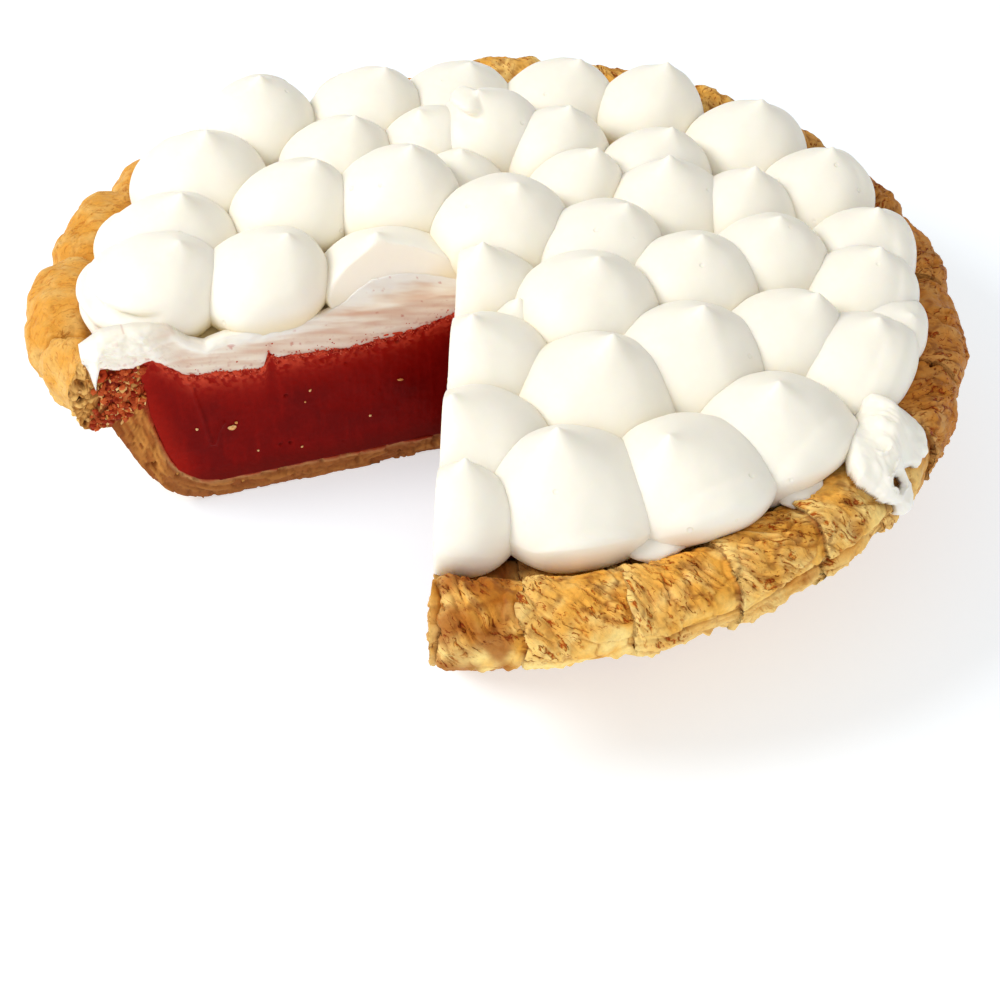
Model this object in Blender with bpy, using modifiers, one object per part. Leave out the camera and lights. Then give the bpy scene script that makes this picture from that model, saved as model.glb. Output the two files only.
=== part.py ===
"""Red velvet pie with one slice taken out: a deep pastry crust with a crimped rim, a red custard
filling, a layer of whipped cream on it and rings of whipped cream kisses on top.

Run it with blender --background --python part.py, or from the text editor. Sizes are given in
millimetres and multiplied by MM, so that the model is in metres. +Z is up. The origin is on the
ground, below the middle of the crust, and the slice is missing at the front left, towards -X -Y.
"""

import bisect
import math
from typing import NamedTuple

import bmesh
import bpy
from mathutils import Vector, noise

MM = 0.001
COLLECTION_NAME = "red_velvet_pie"
GAP = 0.3  # between pieces that touch
WALL_GAP = 0.4  # between the filling and the wall round it

# The missing slice: its point, and the directions in which its two faces run outwards.
SLICE_POINT = (-9.5, -4.0)
LEFT_FACE_DEG = 198.2
RIGHT_FACE_DEG = 267.3
SLICE_REACH = 190.0
SLICE_TOP = 110.0
SLICE_BOTTOM = -20.0
BREAK_DEPTH = 1.0  # how rough the pastry breaks along the two faces
BREAK_GRAIN = 7.0
BREAK_CUTS = 26

# The crust: a flat floor, a sloping wall, a shoulder and a thick rim.
FLOOR_THICKNESS = 6.0
FOOT_RADIUS = 87.0
RIM_CENTRE = (122.0, 46.0)
RIM_HALF_WIDTH = 9.8
RIM_HALF_HEIGHT = 10.0
RIM_ARC_DEG = (158.0, 130.0, 102.0, 74.0, 46.0, 18.0, -8.0, -34.0, -72.0)
INNER_WALL = ((83.0, 6.3), (89.0, 8.3), (94.6, 12.8), (97.6, 19.5), (100.4, 32.0), (102.0, 47.0))
SHOULDER = ((104.5, 50.2), (109.5, 50.6))
OUTER_WALL = ((112.0, 34.0), (105.6, 18.0), (101.0, 9.0), (94.5, 3.0))
RIM_REACH = 133.0

# The crimps in the rim: the directions of the creases between them, uneven as pressed by hand.
# The rim is moved where its radius and height are past the two stretches here.
RIM_STARTS_AT = (113.0, 120.0)
RIM_HANGS_TO = (32.0, 37.0)
CREASES_DEG = (
    3, 19, 35, 51, 67, 82, 96, 110, 125, 141, 158, 169, 186, 205, 220, 235, 250, 264, 273, 284.5,
    297, 309, 320, 331, 345,
)
STEPS_PER_CRIMP = 5
CRIMP_SWELL = 1.8
CRIMP_CREASE = 3.0
CREASE_FADES = (34.0, 46.0)  # the heights between which the creases run out, going down
CRIMP_SKEW = 0.75
RIM_ROUGHNESS = 1.2
RIM_GRAIN = 9.0
# Beside the slice the rim is torn away on the left, and at the back it is squeezed inwards.
TORN_END_REACH = 12.0
TORN_END_SPREAD = 11.0
TORN_END_STOP_DEG = (247.0, 257.0)
SQUEEZE_DEG = (92.0, 108.0, 137.0, 150.0)
SQUEEZE_IN = 9.0
SQUEEZE_DOWN = 3.0
# A fold runs round the outside of the rim at the right.
LEDGE_DEG = (298.0, 304.0, 321.0, 327.0)
LEDGE_HEIGHT = 45.0
LEDGE_HALF_HEIGHT = 3.0
LEDGE_DEPTH = 3.0

# The custard and the cream that lies on it.
CUSTARD_LEVEL = 47.5
CUSTARD_DIP = 4.0
CUSTARD_DIP_RADIUS = 76.0
CUSTARD_DIP_SPREAD = 20.0
CUSTARD_EDGE_RISE = 4.5
CUSTARD_EDGE_RADIUS = (84.0, 101.0)
CUSTARD_WAVE = 0.9
CUSTARD_WAVE_GRAIN = 22.0
CUSTARD_RINGS = (0.0, 30.0, 58.0, 82.0, 93.0)
CREAM_LEVEL = 57.3
CREAM_FALL = 5.5
CREAM_RINGS = (0.0, 30.0, 60.0, 85.0, 103.0)
CREAM_EDGE = ((104.0, 51.3), (101.9, 50.2))
RING_STEPS = 66

# The cream kisses, each one: direction from the middle in degrees, distance, width and height.
KISS_SIDES = 12
KISS_RINGS = (0.87, 0.68, 0.43, 0.21, 0.0)
KISS_BELLY = 0.27
KISS_FOOT = 0.84
KISS_BEND = 2.0
KISS_LEAN_BACK = 0.5
KISS_PRESS = 11.0
KISS_FULLER = 1.16
KISS_ABOVE_CRUST = 1.2
KISS_LOOKS_AHEAD = 2.0
KISS_STEEPER_OVER_CRUST = 12.0
KISS_REACH_LIMIT = 122.5
KISS_LEAST_REACH = 0.4
KISS_LEAN_ROOM = 1.0


class Kiss(NamedTuple):
    """One dollop of cream, placed by its direction and distance from the middle of the pie.

    The point is blunt at 0.7 and drawn out at 1.3, and the lean is how far the tip is to the right.
    """

    direction_deg: float
    distance: float
    width: float
    height: float
    point: float = 1.0
    lean: float = 5.0


# The knife has scooped this one back from the left face, ever further towards its top.
SCOOPED_KISS = Kiss(182.5, 29.7, 38, 17.5, 1.0, -3)
SCOOP_SLOPE = 0.466

OUTER_RING = (
    Kiss(134, 106, 36, 27, 0.7, 2), Kiss(115.5, 94, 36, 24, 0.8, 7), Kiss(97.6, 93, 37, 21, 0.8),
    Kiss(77.7, 95, 35, 22, 0.75, 7), Kiss(60, 98, 33, 26, 0.8), Kiss(40, 101, 36, 25, 0.8, 4),
    Kiss(22, 104, 34, 25, 0.8, 3), Kiss(5, 107, 33, 24, 0.8, 2), Kiss(354.5, 103, 33, 24, 0.85, 4),
    Kiss(347, 112, 26, 17, 0.7, 0), Kiss(337, 106, 36, 24, 0.8, 4),
    Kiss(317, 101, 40, 25, 0.95, -1), Kiss(300, 100, 41, 25, 0.85, -6),
    Kiss(282, 94, 42, 28, 1.2, -4), Kiss(265, 97, 32, 23, 0.8, 1), Kiss(184.6, 96, 39, 24, 0.7, 9),
    Kiss(171, 96, 40, 24, 0.95, 6), Kiss(152, 101, 40, 25, 0.85, 4),
)
MIDDLE_RING = (
    Kiss(184.6, 65, 36, 22, 0.75, 8), Kiss(155, 65, 35, 25, 0.8, 8), Kiss(130, 74, 34, 22, 0.85, 6),
    Kiss(107, 66, 30, 21, 0.75, 3), Kiss(92, 66, 36, 26, 0.7, 4), Kiss(73, 62, 33, 23, 0.85),
    Kiss(45, 68, 33, 23, 0.85), Kiss(30, 60, 36, 24, 1.0, -1), Kiss(21, 78, 31, 23, 0.9, 3),
    Kiss(1, 78, 34, 24, 0.75, 2), Kiss(337, 85, 34, 24, 0.8, 8), Kiss(321, 67, 40, 25, 0.95, 3),
    Kiss(296, 61, 41, 25, 1.15, 4), Kiss(267, 75, 36, 23, 0.9, -4),
)
INNER_RING = (
    Kiss(57, 45, 29, 21, 0.85, 6), Kiss(134, 41, 36, 27, 0.75), Kiss(82, 14, 38, 25, 0.7),
    Kiss(10, 30, 36, 23, 0.75, 8), Kiss(350, 56, 36, 24, 0.8, 2), Kiss(318, 34, 39, 25, 0.8, 3),
    SCOOPED_KISS, Kiss(257, 13, 32, 22, 1.1, 0), Kiss(284, 28, 22, 14, 1.0, 0),
    Kiss(268, 44, 34, 22, 0.95, -4), Kiss(103, 47, 26, 15, 0.8, 1),
)

# The kiss that has slumped over the rim at the right, and hangs down outside.
SLUMP = Kiss(325.5, 118, 24, 0)
SLUMP_HALF_WIDTH = 15.0
SLUMP_ARC_DEG = (150.0, 2.0)
SLUMP_THICKNESS = 8.5
SLUMP_EDGE = 1.5
SLUMP_GAP = 1.2
SLUMP_NARROWER = 0.35
SLUMP_GRID = 9


def smooth_step(low, high, value):
    """From 0 at low to 1 at high, level at both ends."""
    share = min(1.0, max(0.0, (value - low) / (high - low)))
    return share * share * (3.0 - 2.0 * share)


def from_polar(direction_deg, distance):
    angle = math.radians(direction_deg)
    return Vector((distance * math.cos(angle), distance * math.sin(angle)))


def between(stretch, value):
    """Rises from 0 to 1 over the first two bounds of a stretch, and falls over the last two."""
    return smooth_step(stretch[0], stretch[1], value) * (
        1.0 - smooth_step(stretch[-2], stretch[-1], value)
    )


def clear_scene():
    for item in list(bpy.data.objects):
        bpy.data.objects.remove(item, do_unlink=True)


def new_collection(name):
    collection = bpy.data.collections.new(name)
    bpy.context.scene.collection.children.link(collection)
    return collection


def new_material(name, colour, roughness):
    material = bpy.data.materials.new(name)
    material.use_nodes = True
    shader = material.node_tree.nodes["Principled BSDF"]
    shader.inputs["Base Color"].default_value = (*colour, 1.0)
    shader.inputs["Roughness"].default_value = roughness
    shader.inputs["Metallic"].default_value = 0.0
    material.diffuse_color = (*colour, 1.0)
    return material


def object_from_bmesh(name, shape, collection, material=None):
    """Takes a bmesh in millimetres, turns its faces outwards and makes it an object in metres."""
    shape.normal_update()
    bmesh.ops.recalc_face_normals(shape, faces=shape.faces)
    bmesh.ops.scale(shape, vec=Vector((MM, MM, MM)), verts=shape.verts)
    mesh = bpy.data.meshes.new(name)
    shape.to_mesh(mesh)
    shape.free()
    mesh.shade_smooth()
    made = bpy.data.objects.new(name, mesh)
    if material:
        mesh.materials.append(material)
    collection.objects.link(made)
    return made


def turned(section, steps):
    """A bmesh of the section, a line of (radius, height) from axis to axis, turned about Z."""
    mesh = bpy.data.meshes.new("section")
    points = [(radius * MM, 0.0, height * MM) for radius, height in section]
    mesh.from_pydata(points, [(i, i + 1) for i in range(len(points) - 1)], [])
    line = bpy.data.objects.new("section", mesh)
    bpy.context.scene.collection.objects.link(line)
    screw = line.modifiers.new("turn", "SCREW")
    screw.steps = steps
    screw.render_steps = steps
    screw.use_merge_vertices = True
    screw.merge_threshold = 0.0001
    evaluated = line.evaluated_get(bpy.context.evaluated_depsgraph_get())
    solid = bpy.data.meshes.new_from_object(evaluated)
    shape = bmesh.new()
    shape.from_mesh(solid)
    bmesh.ops.scale(shape, vec=Vector((1.0 / MM,) * 3), verts=shape.verts)
    bpy.data.objects.remove(line)
    bpy.data.meshes.remove(solid)
    return shape


def rim_point(arc_deg):
    """The radius and height of a point of the plain rim, at an angle about the rim's centre."""
    angle = math.radians(arc_deg)
    return (
        RIM_CENTRE[0] + RIM_HALF_WIDTH * math.cos(angle),
        RIM_CENTRE[1] + RIM_HALF_HEIGHT * math.sin(angle),
    )


def rim_section():
    """The round of the rim, from its inner flank over the crest to its underside."""
    return [rim_point(arc_deg) for arc_deg in RIM_ARC_DEG]


def crust_section():
    """The crust's section, from the middle of its floor over the rim to the middle underneath."""
    inside = [(0.0, FLOOR_THICKNESS), *INNER_WALL, *SHOULDER]
    return [*inside, *rim_section(), *OUTER_WALL, (FOOT_RADIUS, 0.0), (0.0, 0.0)]


def crimp_spans():
    """The stretches between neighbouring creases, in degrees, the last one passing 360."""
    return list(zip(CREASES_DEG, (*CREASES_DEG[1:], CREASES_DEG[0] + 360.0)))


def crimp_at(direction_deg):
    """How far the rim swells at a direction: 0 in a crease and 1 on the crest of a crimp."""
    spans = crimp_spans()
    turn = (direction_deg - CREASES_DEG[0]) % 360.0 + CREASES_DEG[0]
    start, end = spans[bisect.bisect_right(CREASES_DEG, turn) - 1]
    along = ((turn - start) / (end - start)) ** CRIMP_SKEW
    return math.sqrt(max(0.0, 4.0 * along * (1.0 - along)))


def crimp_direction(direction_deg):
    """Moves the evenly turned steps so that a step falls on each crease."""
    step = (direction_deg % 360.0) / 360.0 * len(CREASES_DEG)
    start, end = crimp_spans()[int(step) % len(CREASES_DEG)]
    return start + (end - start) * (step - int(step))


def rim_share(radius, height):
    """1 on the outside and top of the rim, and 0 on its inner flank, the walls and the foot."""
    return smooth_step(*RIM_STARTS_AT, radius) * smooth_step(*RIM_HANGS_TO, height)


def rim_offset(direction_deg, radius, height, crimp):
    """How far a point of the rim is moved outwards and upwards by the crimps and tears."""
    share = rim_share(radius, height)
    across = Vector((radius - RIM_CENTRE[0], height - RIM_CENTRE[1])).normalized()
    crease = (1.0 - crimp) * smooth_step(*CREASE_FADES, height)
    swell = CRIMP_SWELL * crimp - CRIMP_CREASE * crease
    spot = Vector((*from_polar(direction_deg, radius), height)) / RIM_GRAIN
    swell += RIM_ROUGHNESS * noise.noise(spot)
    off_ledge = abs(height - LEDGE_HEIGHT) / LEDGE_HALF_HEIGHT
    swell -= between(LEDGE_DEG, direction_deg) * LEDGE_DEPTH * max(0.0, 1.0 - off_ledge)
    moved = across * (swell * share)
    torn = smooth_step(LEFT_FACE_DEG - TORN_END_SPREAD, LEFT_FACE_DEG, direction_deg)
    torn *= 1.0 - smooth_step(*TORN_END_STOP_DEG, direction_deg)
    moved.x -= torn * TORN_END_REACH * smooth_step(OUTER_WALL[0][0], RIM_REACH, radius)
    moved -= Vector((SQUEEZE_IN, SQUEEZE_DOWN)) * between(SQUEEZE_DEG, direction_deg) * share
    return moved


def crust_top(direction_deg, radius):
    """The height of the crust's highest crimp between its shoulder and a radius."""
    highest = SHOULDER[-1][1]
    before = SHOULDER[-1]
    for point in rim_section():
        moved = rim_offset(direction_deg, *point, crimp=1.0)
        after = (point[0] + moved.x, point[1] + moved.y)
        if before[0] < radius and after[0] > before[0]:
            share = min(1.0, (radius - before[0]) / (after[0] - before[0]))
            highest = max(highest, before[1] + (after[1] - before[1]) * share)
        before = after
    return highest


def slice_cutter(name, collection, break_depth=0.0):
    """A wedge-shaped prism that fills the missing slice, with rough faces where pastry breaks."""
    shape = bmesh.new()
    point = Vector(SLICE_POINT)
    spread = RIGHT_FACE_DEG - LEFT_FACE_DEG
    outline = [point]
    for share in (0.0, 0.5, 1.0):
        outline.append(point + from_polar(LEFT_FACE_DEG + spread * share, SLICE_REACH))
    low = [shape.verts.new((x, y, SLICE_BOTTOM)) for x, y in outline]
    base = shape.faces.new(low)
    raised = bmesh.ops.extrude_face_region(shape, geom=[base])
    top = [item for item in raised["geom"] if isinstance(item, bmesh.types.BMVert)]
    bmesh.ops.translate(shape, vec=Vector((0.0, 0.0, SLICE_TOP - SLICE_BOTTOM)), verts=top)
    if break_depth:
        bmesh.ops.subdivide_edges(
            shape, edges=shape.edges[:], cuts=BREAK_CUTS, use_grid_fill=True
        )
        across = from_polar((LEFT_FACE_DEG + RIGHT_FACE_DEG) / 2 + 90.0, break_depth)
        for vert in shape.verts:
            if (vert.co.xy - point).length > BREAK_GRAIN:
                vert.co.xy += across * noise.noise(vert.co / BREAK_GRAIN)
    cutter = object_from_bmesh(name, shape, collection)
    cutter.hide_render = True
    cutter.display_type = "WIRE"
    return cutter


def cut_slice(made, cutter):
    cut = made.modifiers.new("slice", "BOOLEAN")
    cut.operation = "DIFFERENCE"
    cut.solver = "EXACT"
    cut.object = cutter


def build_crust(collection, cutter, material):
    shape = turned(crust_section(), len(CREASES_DEG) * STEPS_PER_CRIMP)
    for vert in shape.verts:
        radius = math.hypot(vert.co.x, vert.co.y)
        if radius > 1.0:
            direction = crimp_direction(math.degrees(math.atan2(vert.co.y, vert.co.x)))
            moved = rim_offset(direction, radius, vert.co.z, crimp_at(direction))
            place = from_polar(direction, radius + moved.x)
            vert.co = (place.x, place.y, vert.co.z + moved.y)
    crust = object_from_bmesh("crust", shape, collection, material)
    cut_slice(crust, cutter)
    return crust


def custard_height(x, y):
    """The top of the custard: level in the middle, dipping on the way out, higher at the wall."""
    radius = math.hypot(x, y)
    off_dip = (radius - CUSTARD_DIP_RADIUS) / CUSTARD_DIP_SPREAD
    dip = CUSTARD_DIP * math.exp(-off_dip * off_dip)
    rise = CUSTARD_EDGE_RISE * smooth_step(*CUSTARD_EDGE_RADIUS, radius)
    wave = CUSTARD_WAVE * noise.noise(Vector((x, y, CUSTARD_LEVEL)) / CUSTARD_WAVE_GRAIN)
    return CUSTARD_LEVEL - dip + rise + wave


def shape_on_custard(shape, marked_height, lift):
    """Lays the points that were turned at a marked height on the top of the custard."""
    for vert in shape.verts:
        if abs(vert.co.z - marked_height) < 1.0:
            vert.co.z = custard_height(vert.co.x, vert.co.y) + lift


def build_custard(collection, cutter, material):
    top = CREAM_LEVEL
    wall = [(radius - WALL_GAP, height + GAP) for radius, height in reversed(INNER_WALL)]
    section = [(radius, top) for radius in CUSTARD_RINGS]
    section += [(wall[0][0], top), *wall[1:], (0.0, FLOOR_THICKNESS + GAP)]
    shape = turned(section, RING_STEPS)
    shape_on_custard(shape, top, 0.0)
    custard = object_from_bmesh("custard_filling", shape, collection, material)
    cut_slice(custard, cutter)
    return custard


def cream_height(radius):
    """The top of the cream layer, heaped a little in the middle."""
    return CREAM_LEVEL - CREAM_FALL * (radius / CREAM_RINGS[-1]) ** 2


def build_cream_layer(collection, cutter, material):
    section = [(radius, cream_height(radius)) for radius in CREAM_RINGS]
    section += [*CREAM_EDGE, (INNER_WALL[-1][0] - WALL_GAP, 0.0)]
    section += [(radius, 0.0) for radius in reversed(CUSTARD_RINGS)]
    shape = turned(section, RING_STEPS)
    shape_on_custard(shape, 0.0, GAP)
    cream = object_from_bmesh("cream_layer", shape, collection, material)
    cut_slice(cream, cutter)
    return cream


def kiss_middle(kiss):
    return from_polar(kiss.direction_deg, kiss.distance)


def kiss_width_at(kiss, share):
    """Half the width of an unpressed kiss at a share of its height."""
    if share < KISS_BELLY:
        under = (KISS_BELLY - share) / KISS_BELLY
        return kiss.width / 2 * KISS_FULLER * (1.0 - (1.0 - KISS_FOOT) * under * under)
    above = (share - KISS_BELLY) / (1.0 - KISS_BELLY)
    return kiss.width / 2 * KISS_FULLER * max(0.0, 1.0 - above * above) ** kiss.point


def kiss_lean_at(kiss, share):
    above = max(0.0, (share - KISS_BELLY) / (1.0 - KISS_BELLY))
    return Vector((kiss.lean, KISS_LEAN_BACK)) * above ** KISS_BEND


def plane_between(kiss, other):
    """The direction from a kiss to another, and how far off the plane lies that parts them."""
    apart = kiss_middle(other) - kiss_middle(kiss)
    length = apart.length
    squares = length * length + (kiss.width / 2) ** 2 - (other.width / 2) ** 2
    return apart / length, squares / (2.0 * length) - GAP / 2


def room_towards(kiss, others, start, heading):
    """How far a kiss may reach from start before it meets the plane shared with a neighbour."""
    room = 1000.0
    middle = kiss_middle(kiss)
    for other in others:
        apart, plane = plane_between(kiss, other)
        facing = heading.dot(apart)
        if facing > 0.01:
            room = min(room, (plane - (start - middle).dot(apart)) / facing)
    return room


def room_to_circle(start, heading, radius):
    """How far a point may move from start before it leaves a circle about the middle."""
    ahead = start.dot(heading)
    return -ahead + math.sqrt(max(0.0, ahead * ahead + radius * radius - start.length_squared))


def kiss_height(kiss, place, share):
    """The height of a point of a kiss, which rests on the cream layer and on the crust's rim."""
    radius = place.length
    foot = cream_height(radius) + GAP * 1.5
    height = foot + kiss.height * share
    if radius > CREAM_RINGS[-1]:
        direction = math.degrees(math.atan2(place.y, place.x))
        over_crust = KISS_ABOVE_CRUST + KISS_STEEPER_OVER_CRUST * share
        height = max(height, crust_top(direction, radius + KISS_LOOKS_AHEAD) + over_crust)
    return height


def pressed_kiss(kiss, others):
    """A bmesh of one kiss: a sphere reshaped to its profile and pressed flat by its neighbours."""
    shape = bmesh.new()
    bmesh.ops.create_uvsphere(
        shape, u_segments=KISS_SIDES, v_segments=len(KISS_RINGS) + 1, radius=1.0
    )
    middle = kiss_middle(kiss)
    for vert in shape.verts:
        ring = round(math.acos(max(-1.0, min(1.0, vert.co.z))) / math.pi * (len(KISS_RINGS) + 1))
        share = (1.0, *KISS_RINGS, 0.0)[ring]
        lean = kiss_lean_at(kiss, share)
        if lean.length > 0.01:
            room = room_towards(kiss, others, middle, lean.normalized())
            lean *= min(1.0, max(0.0, room - KISS_LEAN_ROOM) / lean.length)
        start = middle + lean
        heading = Vector((vert.co.x, vert.co.y))
        place = start
        if heading.length > 0.01:
            heading.normalize()
            free = kiss_width_at(kiss, share)
            room = min(
                room_towards(kiss, others, start, heading),
                room_to_circle(start, heading, KISS_REACH_LIMIT),
            )
            room = max(KISS_LEAST_REACH, room)
            reach = (free ** -KISS_PRESS + room ** -KISS_PRESS) ** (-1.0 / KISS_PRESS)
            place = start + heading * reach
        vert.co = (place.x, place.y, kiss_height(kiss, place, share))
    foot = sorted(shape.verts, key=lambda vert: (vert.co.xy - middle).length)[:2]
    sole = min(foot, key=lambda vert: vert.co.z)
    sole.co.z = max(edge.other_vert(sole).co.z for edge in sole.link_edges)
    return shape


def keep_behind(shape, point, outward, height=0.0, slope=0.0):
    """Cuts a shape flat at a plane, and keeps the side that outward points away from.

    The plane is upright, or leans back by the slope from the height up.
    """
    bmesh.ops.bisect_plane(
        shape, geom=[*shape.verts, *shape.edges, *shape.faces], dist=0.01,
        plane_co=(*point, height), plane_no=(*outward, slope), clear_outer=True,
    )
    opened = [edge for edge in shape.edges if edge.is_boundary]
    if opened:
        bmesh.ops.holes_fill(shape, edges=opened)


def trim_at_slice(shape, kiss):
    """Cuts a kiss that stands in the way of the missing slice, flat along the slice's face."""
    point = Vector(SLICE_POINT)
    left_out = from_polar(LEFT_FACE_DEG + 90.0, 1.0)
    right_out = from_polar(RIGHT_FACE_DEG - 90.0, 1.0)
    from_point = kiss_middle(kiss) - point
    for outward, other in ((left_out, right_out), (right_out, left_out)):
        if from_point.dot(other) > 0.0:
            keep_behind(shape, point, outward)
    if kiss is SCOOPED_KISS:
        keep_behind(shape, point, left_out, CREAM_LEVEL, SCOOP_SLOPE)


def neighbours(kiss, kisses):
    """The kisses that stand close enough to press on one."""
    middle = kiss_middle(kiss)
    return [
        other for other in kisses
        if other is not kiss
        and (kiss_middle(other) - middle).length < (kiss.width + other.width) / 2 + 6.0
    ]


def build_kisses(collection, material):
    kisses = [*OUTER_RING, *MIDDLE_RING, *INNER_RING]
    for number, kiss in enumerate(kisses, start=1):
        shape = pressed_kiss(kiss, neighbours(kiss, [*kisses, SLUMP]))
        trim_at_slice(shape, kiss)
        object_from_bmesh(f"cream_kiss_{number:02d}", shape, collection, material)


def slump_point(across, along, lift):
    """A point over the rim: across and along run from -1 to 1, lift is the height over it."""
    first, last = SLUMP_ARC_DEG
    arc_deg = first + (last - first) * (along + 1.0) / 2.0
    plain = rim_point(arc_deg)
    direction = SLUMP.direction_deg + math.degrees(across * SLUMP_HALF_WIDTH / RIM_CENTRE[0])
    moved = Vector(plain) + rim_offset(direction, *plain, crimp=1.0)
    outward = Vector((math.cos(math.radians(arc_deg)), math.sin(math.radians(arc_deg))))
    radius, height = moved + outward * (SLUMP_GAP + lift)
    return (*from_polar(direction, radius), height)


def build_slump(collection, material):
    """A sheet laid over the rim and thickened, parted from the kisses on either side."""
    shape = bmesh.new()
    bmesh.ops.create_grid(shape, x_segments=SLUMP_GRID, y_segments=SLUMP_GRID, size=1.0)
    raised = bmesh.ops.extrude_face_region(shape, geom=shape.faces[:])
    upper = {item for item in raised["geom"] if isinstance(item, bmesh.types.BMVert)}
    for vert in shape.verts:
        across, along = vert.co.x, vert.co.y
        narrow = 1.0 - SLUMP_NARROWER * smooth_step(0.0, 1.0, along)
        lift = 0.0
        if vert in upper:
            crown = (1.0 - abs(across) ** 2.4) * (1.0 - 0.8 * smooth_step(-0.2, 1.0, along))
            fold = 0.75 + 0.25 * math.cos(across * 7.0 + along * 2.0)
            lift = SLUMP_EDGE + SLUMP_THICKNESS * crown * fold
        vert.co = slump_point(across * narrow, along, lift)
    for other in neighbours(SLUMP, OUTER_RING):
        outward, plane = plane_between(SLUMP, other)
        keep_behind(shape, kiss_middle(SLUMP) + outward * plane, outward)
    return object_from_bmesh("cream_slump", shape, collection, material)


def main():
    clear_scene()
    pie = new_collection(COLLECTION_NAME)
    cutters = new_collection("cutters")
    pastry = new_material("baked_pastry", (0.56, 0.24, 0.04), 0.65)
    custard = new_material("red_custard", (0.18, 0.004, 0.003), 0.30)
    cream = new_material("whipped_cream", (0.96, 0.93, 0.86), 0.50)
    cutter = slice_cutter("slice_cutter", cutters)
    rough_cutter = slice_cutter("pastry_break_cutter", cutters, BREAK_DEPTH)
    build_crust(pie, rough_cutter, pastry)
    build_custard(pie, cutter, custard)
    build_cream_layer(pie, cutter, cream)
    build_kisses(pie, cream)
    build_slump(pie, cream)


main()
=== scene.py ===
"""The looks of the red velvet pie: baked pastry, red custard and whipped cream.

Sizes are in millimetres in the classes and in metres in the finished meshes. The slice is missing
at the front left, and +Z is up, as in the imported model.
"""

import logging
import math
from dataclasses import dataclass, replace
from enum import Enum
from functools import cache, reduce
from itertools import product

import bmesh
import bpy
import numpy as np
from bpy.types import ID, Material, Mesh, Node, NodeOutputs, NodeSocket, NodeTree, Object
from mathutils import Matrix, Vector, noise


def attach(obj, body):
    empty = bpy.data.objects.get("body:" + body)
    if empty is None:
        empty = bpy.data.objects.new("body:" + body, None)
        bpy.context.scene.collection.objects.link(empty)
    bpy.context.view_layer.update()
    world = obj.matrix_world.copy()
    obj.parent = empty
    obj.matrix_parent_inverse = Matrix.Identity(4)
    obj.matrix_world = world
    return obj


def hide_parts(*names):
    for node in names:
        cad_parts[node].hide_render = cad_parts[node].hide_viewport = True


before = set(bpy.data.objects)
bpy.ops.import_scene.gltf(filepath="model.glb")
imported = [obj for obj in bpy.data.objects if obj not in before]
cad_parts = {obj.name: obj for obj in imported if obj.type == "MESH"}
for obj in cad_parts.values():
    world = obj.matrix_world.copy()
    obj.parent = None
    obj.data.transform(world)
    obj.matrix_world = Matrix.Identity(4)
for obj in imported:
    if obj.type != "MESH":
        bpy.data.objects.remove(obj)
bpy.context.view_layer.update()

MM = 0.001
UP = np.array([0.0, 0.0, 1.0])
Array = np.ndarray
Pair = tuple[float, float]
log = logging.getLogger("red_velvet_pie")


class Slot(Enum):
    """The material slots of the part."""

    PASTRY = "baked_pastry"
    CUSTARD = "red_custard"
    CREAM = "whipped_cream"


class Side(Enum):
    """The two faces of the missing slice, as the photograph shows them."""

    LEFT = "left"
    RIGHT = "right"


# Numbers and noise


def ramp(low: float, high: float, value: Array) -> Array:
    """A share that rises from 0 at low to 1 at high, and is level at both ends."""
    share = np.clip((np.asarray(value, float) - low) / (high - low), 0.0, 1.0)
    return share * share * (3.0 - 2.0 * share)


def fall(low: float, high: float, value: Array) -> Array:
    """A share that falls from 1 at low to 0 at high, and is level at both ends."""
    return 1.0 - ramp(low, high, value)


def between(stretch: tuple[float, ...], value: Array) -> Array:
    """A share that rises over the first two bounds of a stretch and falls over the last two."""
    return ramp(*stretch[:2], value) * fall(*stretch[-2:], value)


def bell(value: Array, width: float | Array) -> Array:
    """A share that is 1 where the value is 0 and falls off on both sides of it."""
    return np.exp(-((value / width) ** 2))


def merged(*coordinates: float | Array) -> Array:
    """Points from their coordinates, which are brought to one shape."""
    return np.stack(np.broadcast_arrays(*coordinates), axis=-1)


def raised(ground: Array, height: float | Array) -> Array:
    """Points in space from places on the ground and their heights."""
    height = np.broadcast_to(height, ground.shape[:-1])
    return np.concatenate([ground, height[..., None]], axis=-1)


def listed(*grids: Array) -> Array:
    """The points of all grids in one list, row by row."""
    return np.concatenate([grid.reshape(-1, 3) for grid in grids])


def evenly(count: int) -> Array:
    """Evenly spaced shares from 0 to 1."""
    return np.linspace(0.0, 1.0, count)


def length_of(vectors: Array) -> Array:
    """The lengths of vectors, which lie along the last axis."""
    return np.linalg.norm(vectors, axis=-1)


def lengths_along(line: Array) -> Array:
    """The length of a line from its start to each of its points."""
    return np.concatenate([[0.0], np.cumsum(length_of(np.diff(line, axis=0)))])


def polar(direction_deg: Array, distance: Array = 1.0) -> Array:
    """Places on the ground by direction, in degrees from +X towards +Y, and distance."""
    angle = np.radians(direction_deg)
    return merged(distance * np.cos(angle), distance * np.sin(angle))


def direction_of(points: Array) -> Array:
    """The directions of points from the middle, in degrees from 0 to 360."""
    return np.degrees(np.arctan2(points[..., 1], points[..., 0])) % 360.0


def packed_noise(points: Array, size: float) -> Array:
    """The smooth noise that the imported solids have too, in waves of one size."""
    places = points.reshape(-1, 3) / size
    return np.reshape([noise.noise(Vector(place)) for place in places], points.shape[:-1])


def blend(first: tuple | Array, second: tuple | Array, share: Array) -> Array:
    """Mixes two colours, either of which may be one for each point, by one share for each point."""
    share = np.clip(np.asarray(share, float), 0.0, 1.0)[..., None]
    return np.asarray(first, float) * (1.0 - share) + np.asarray(second, float) * share


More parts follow.
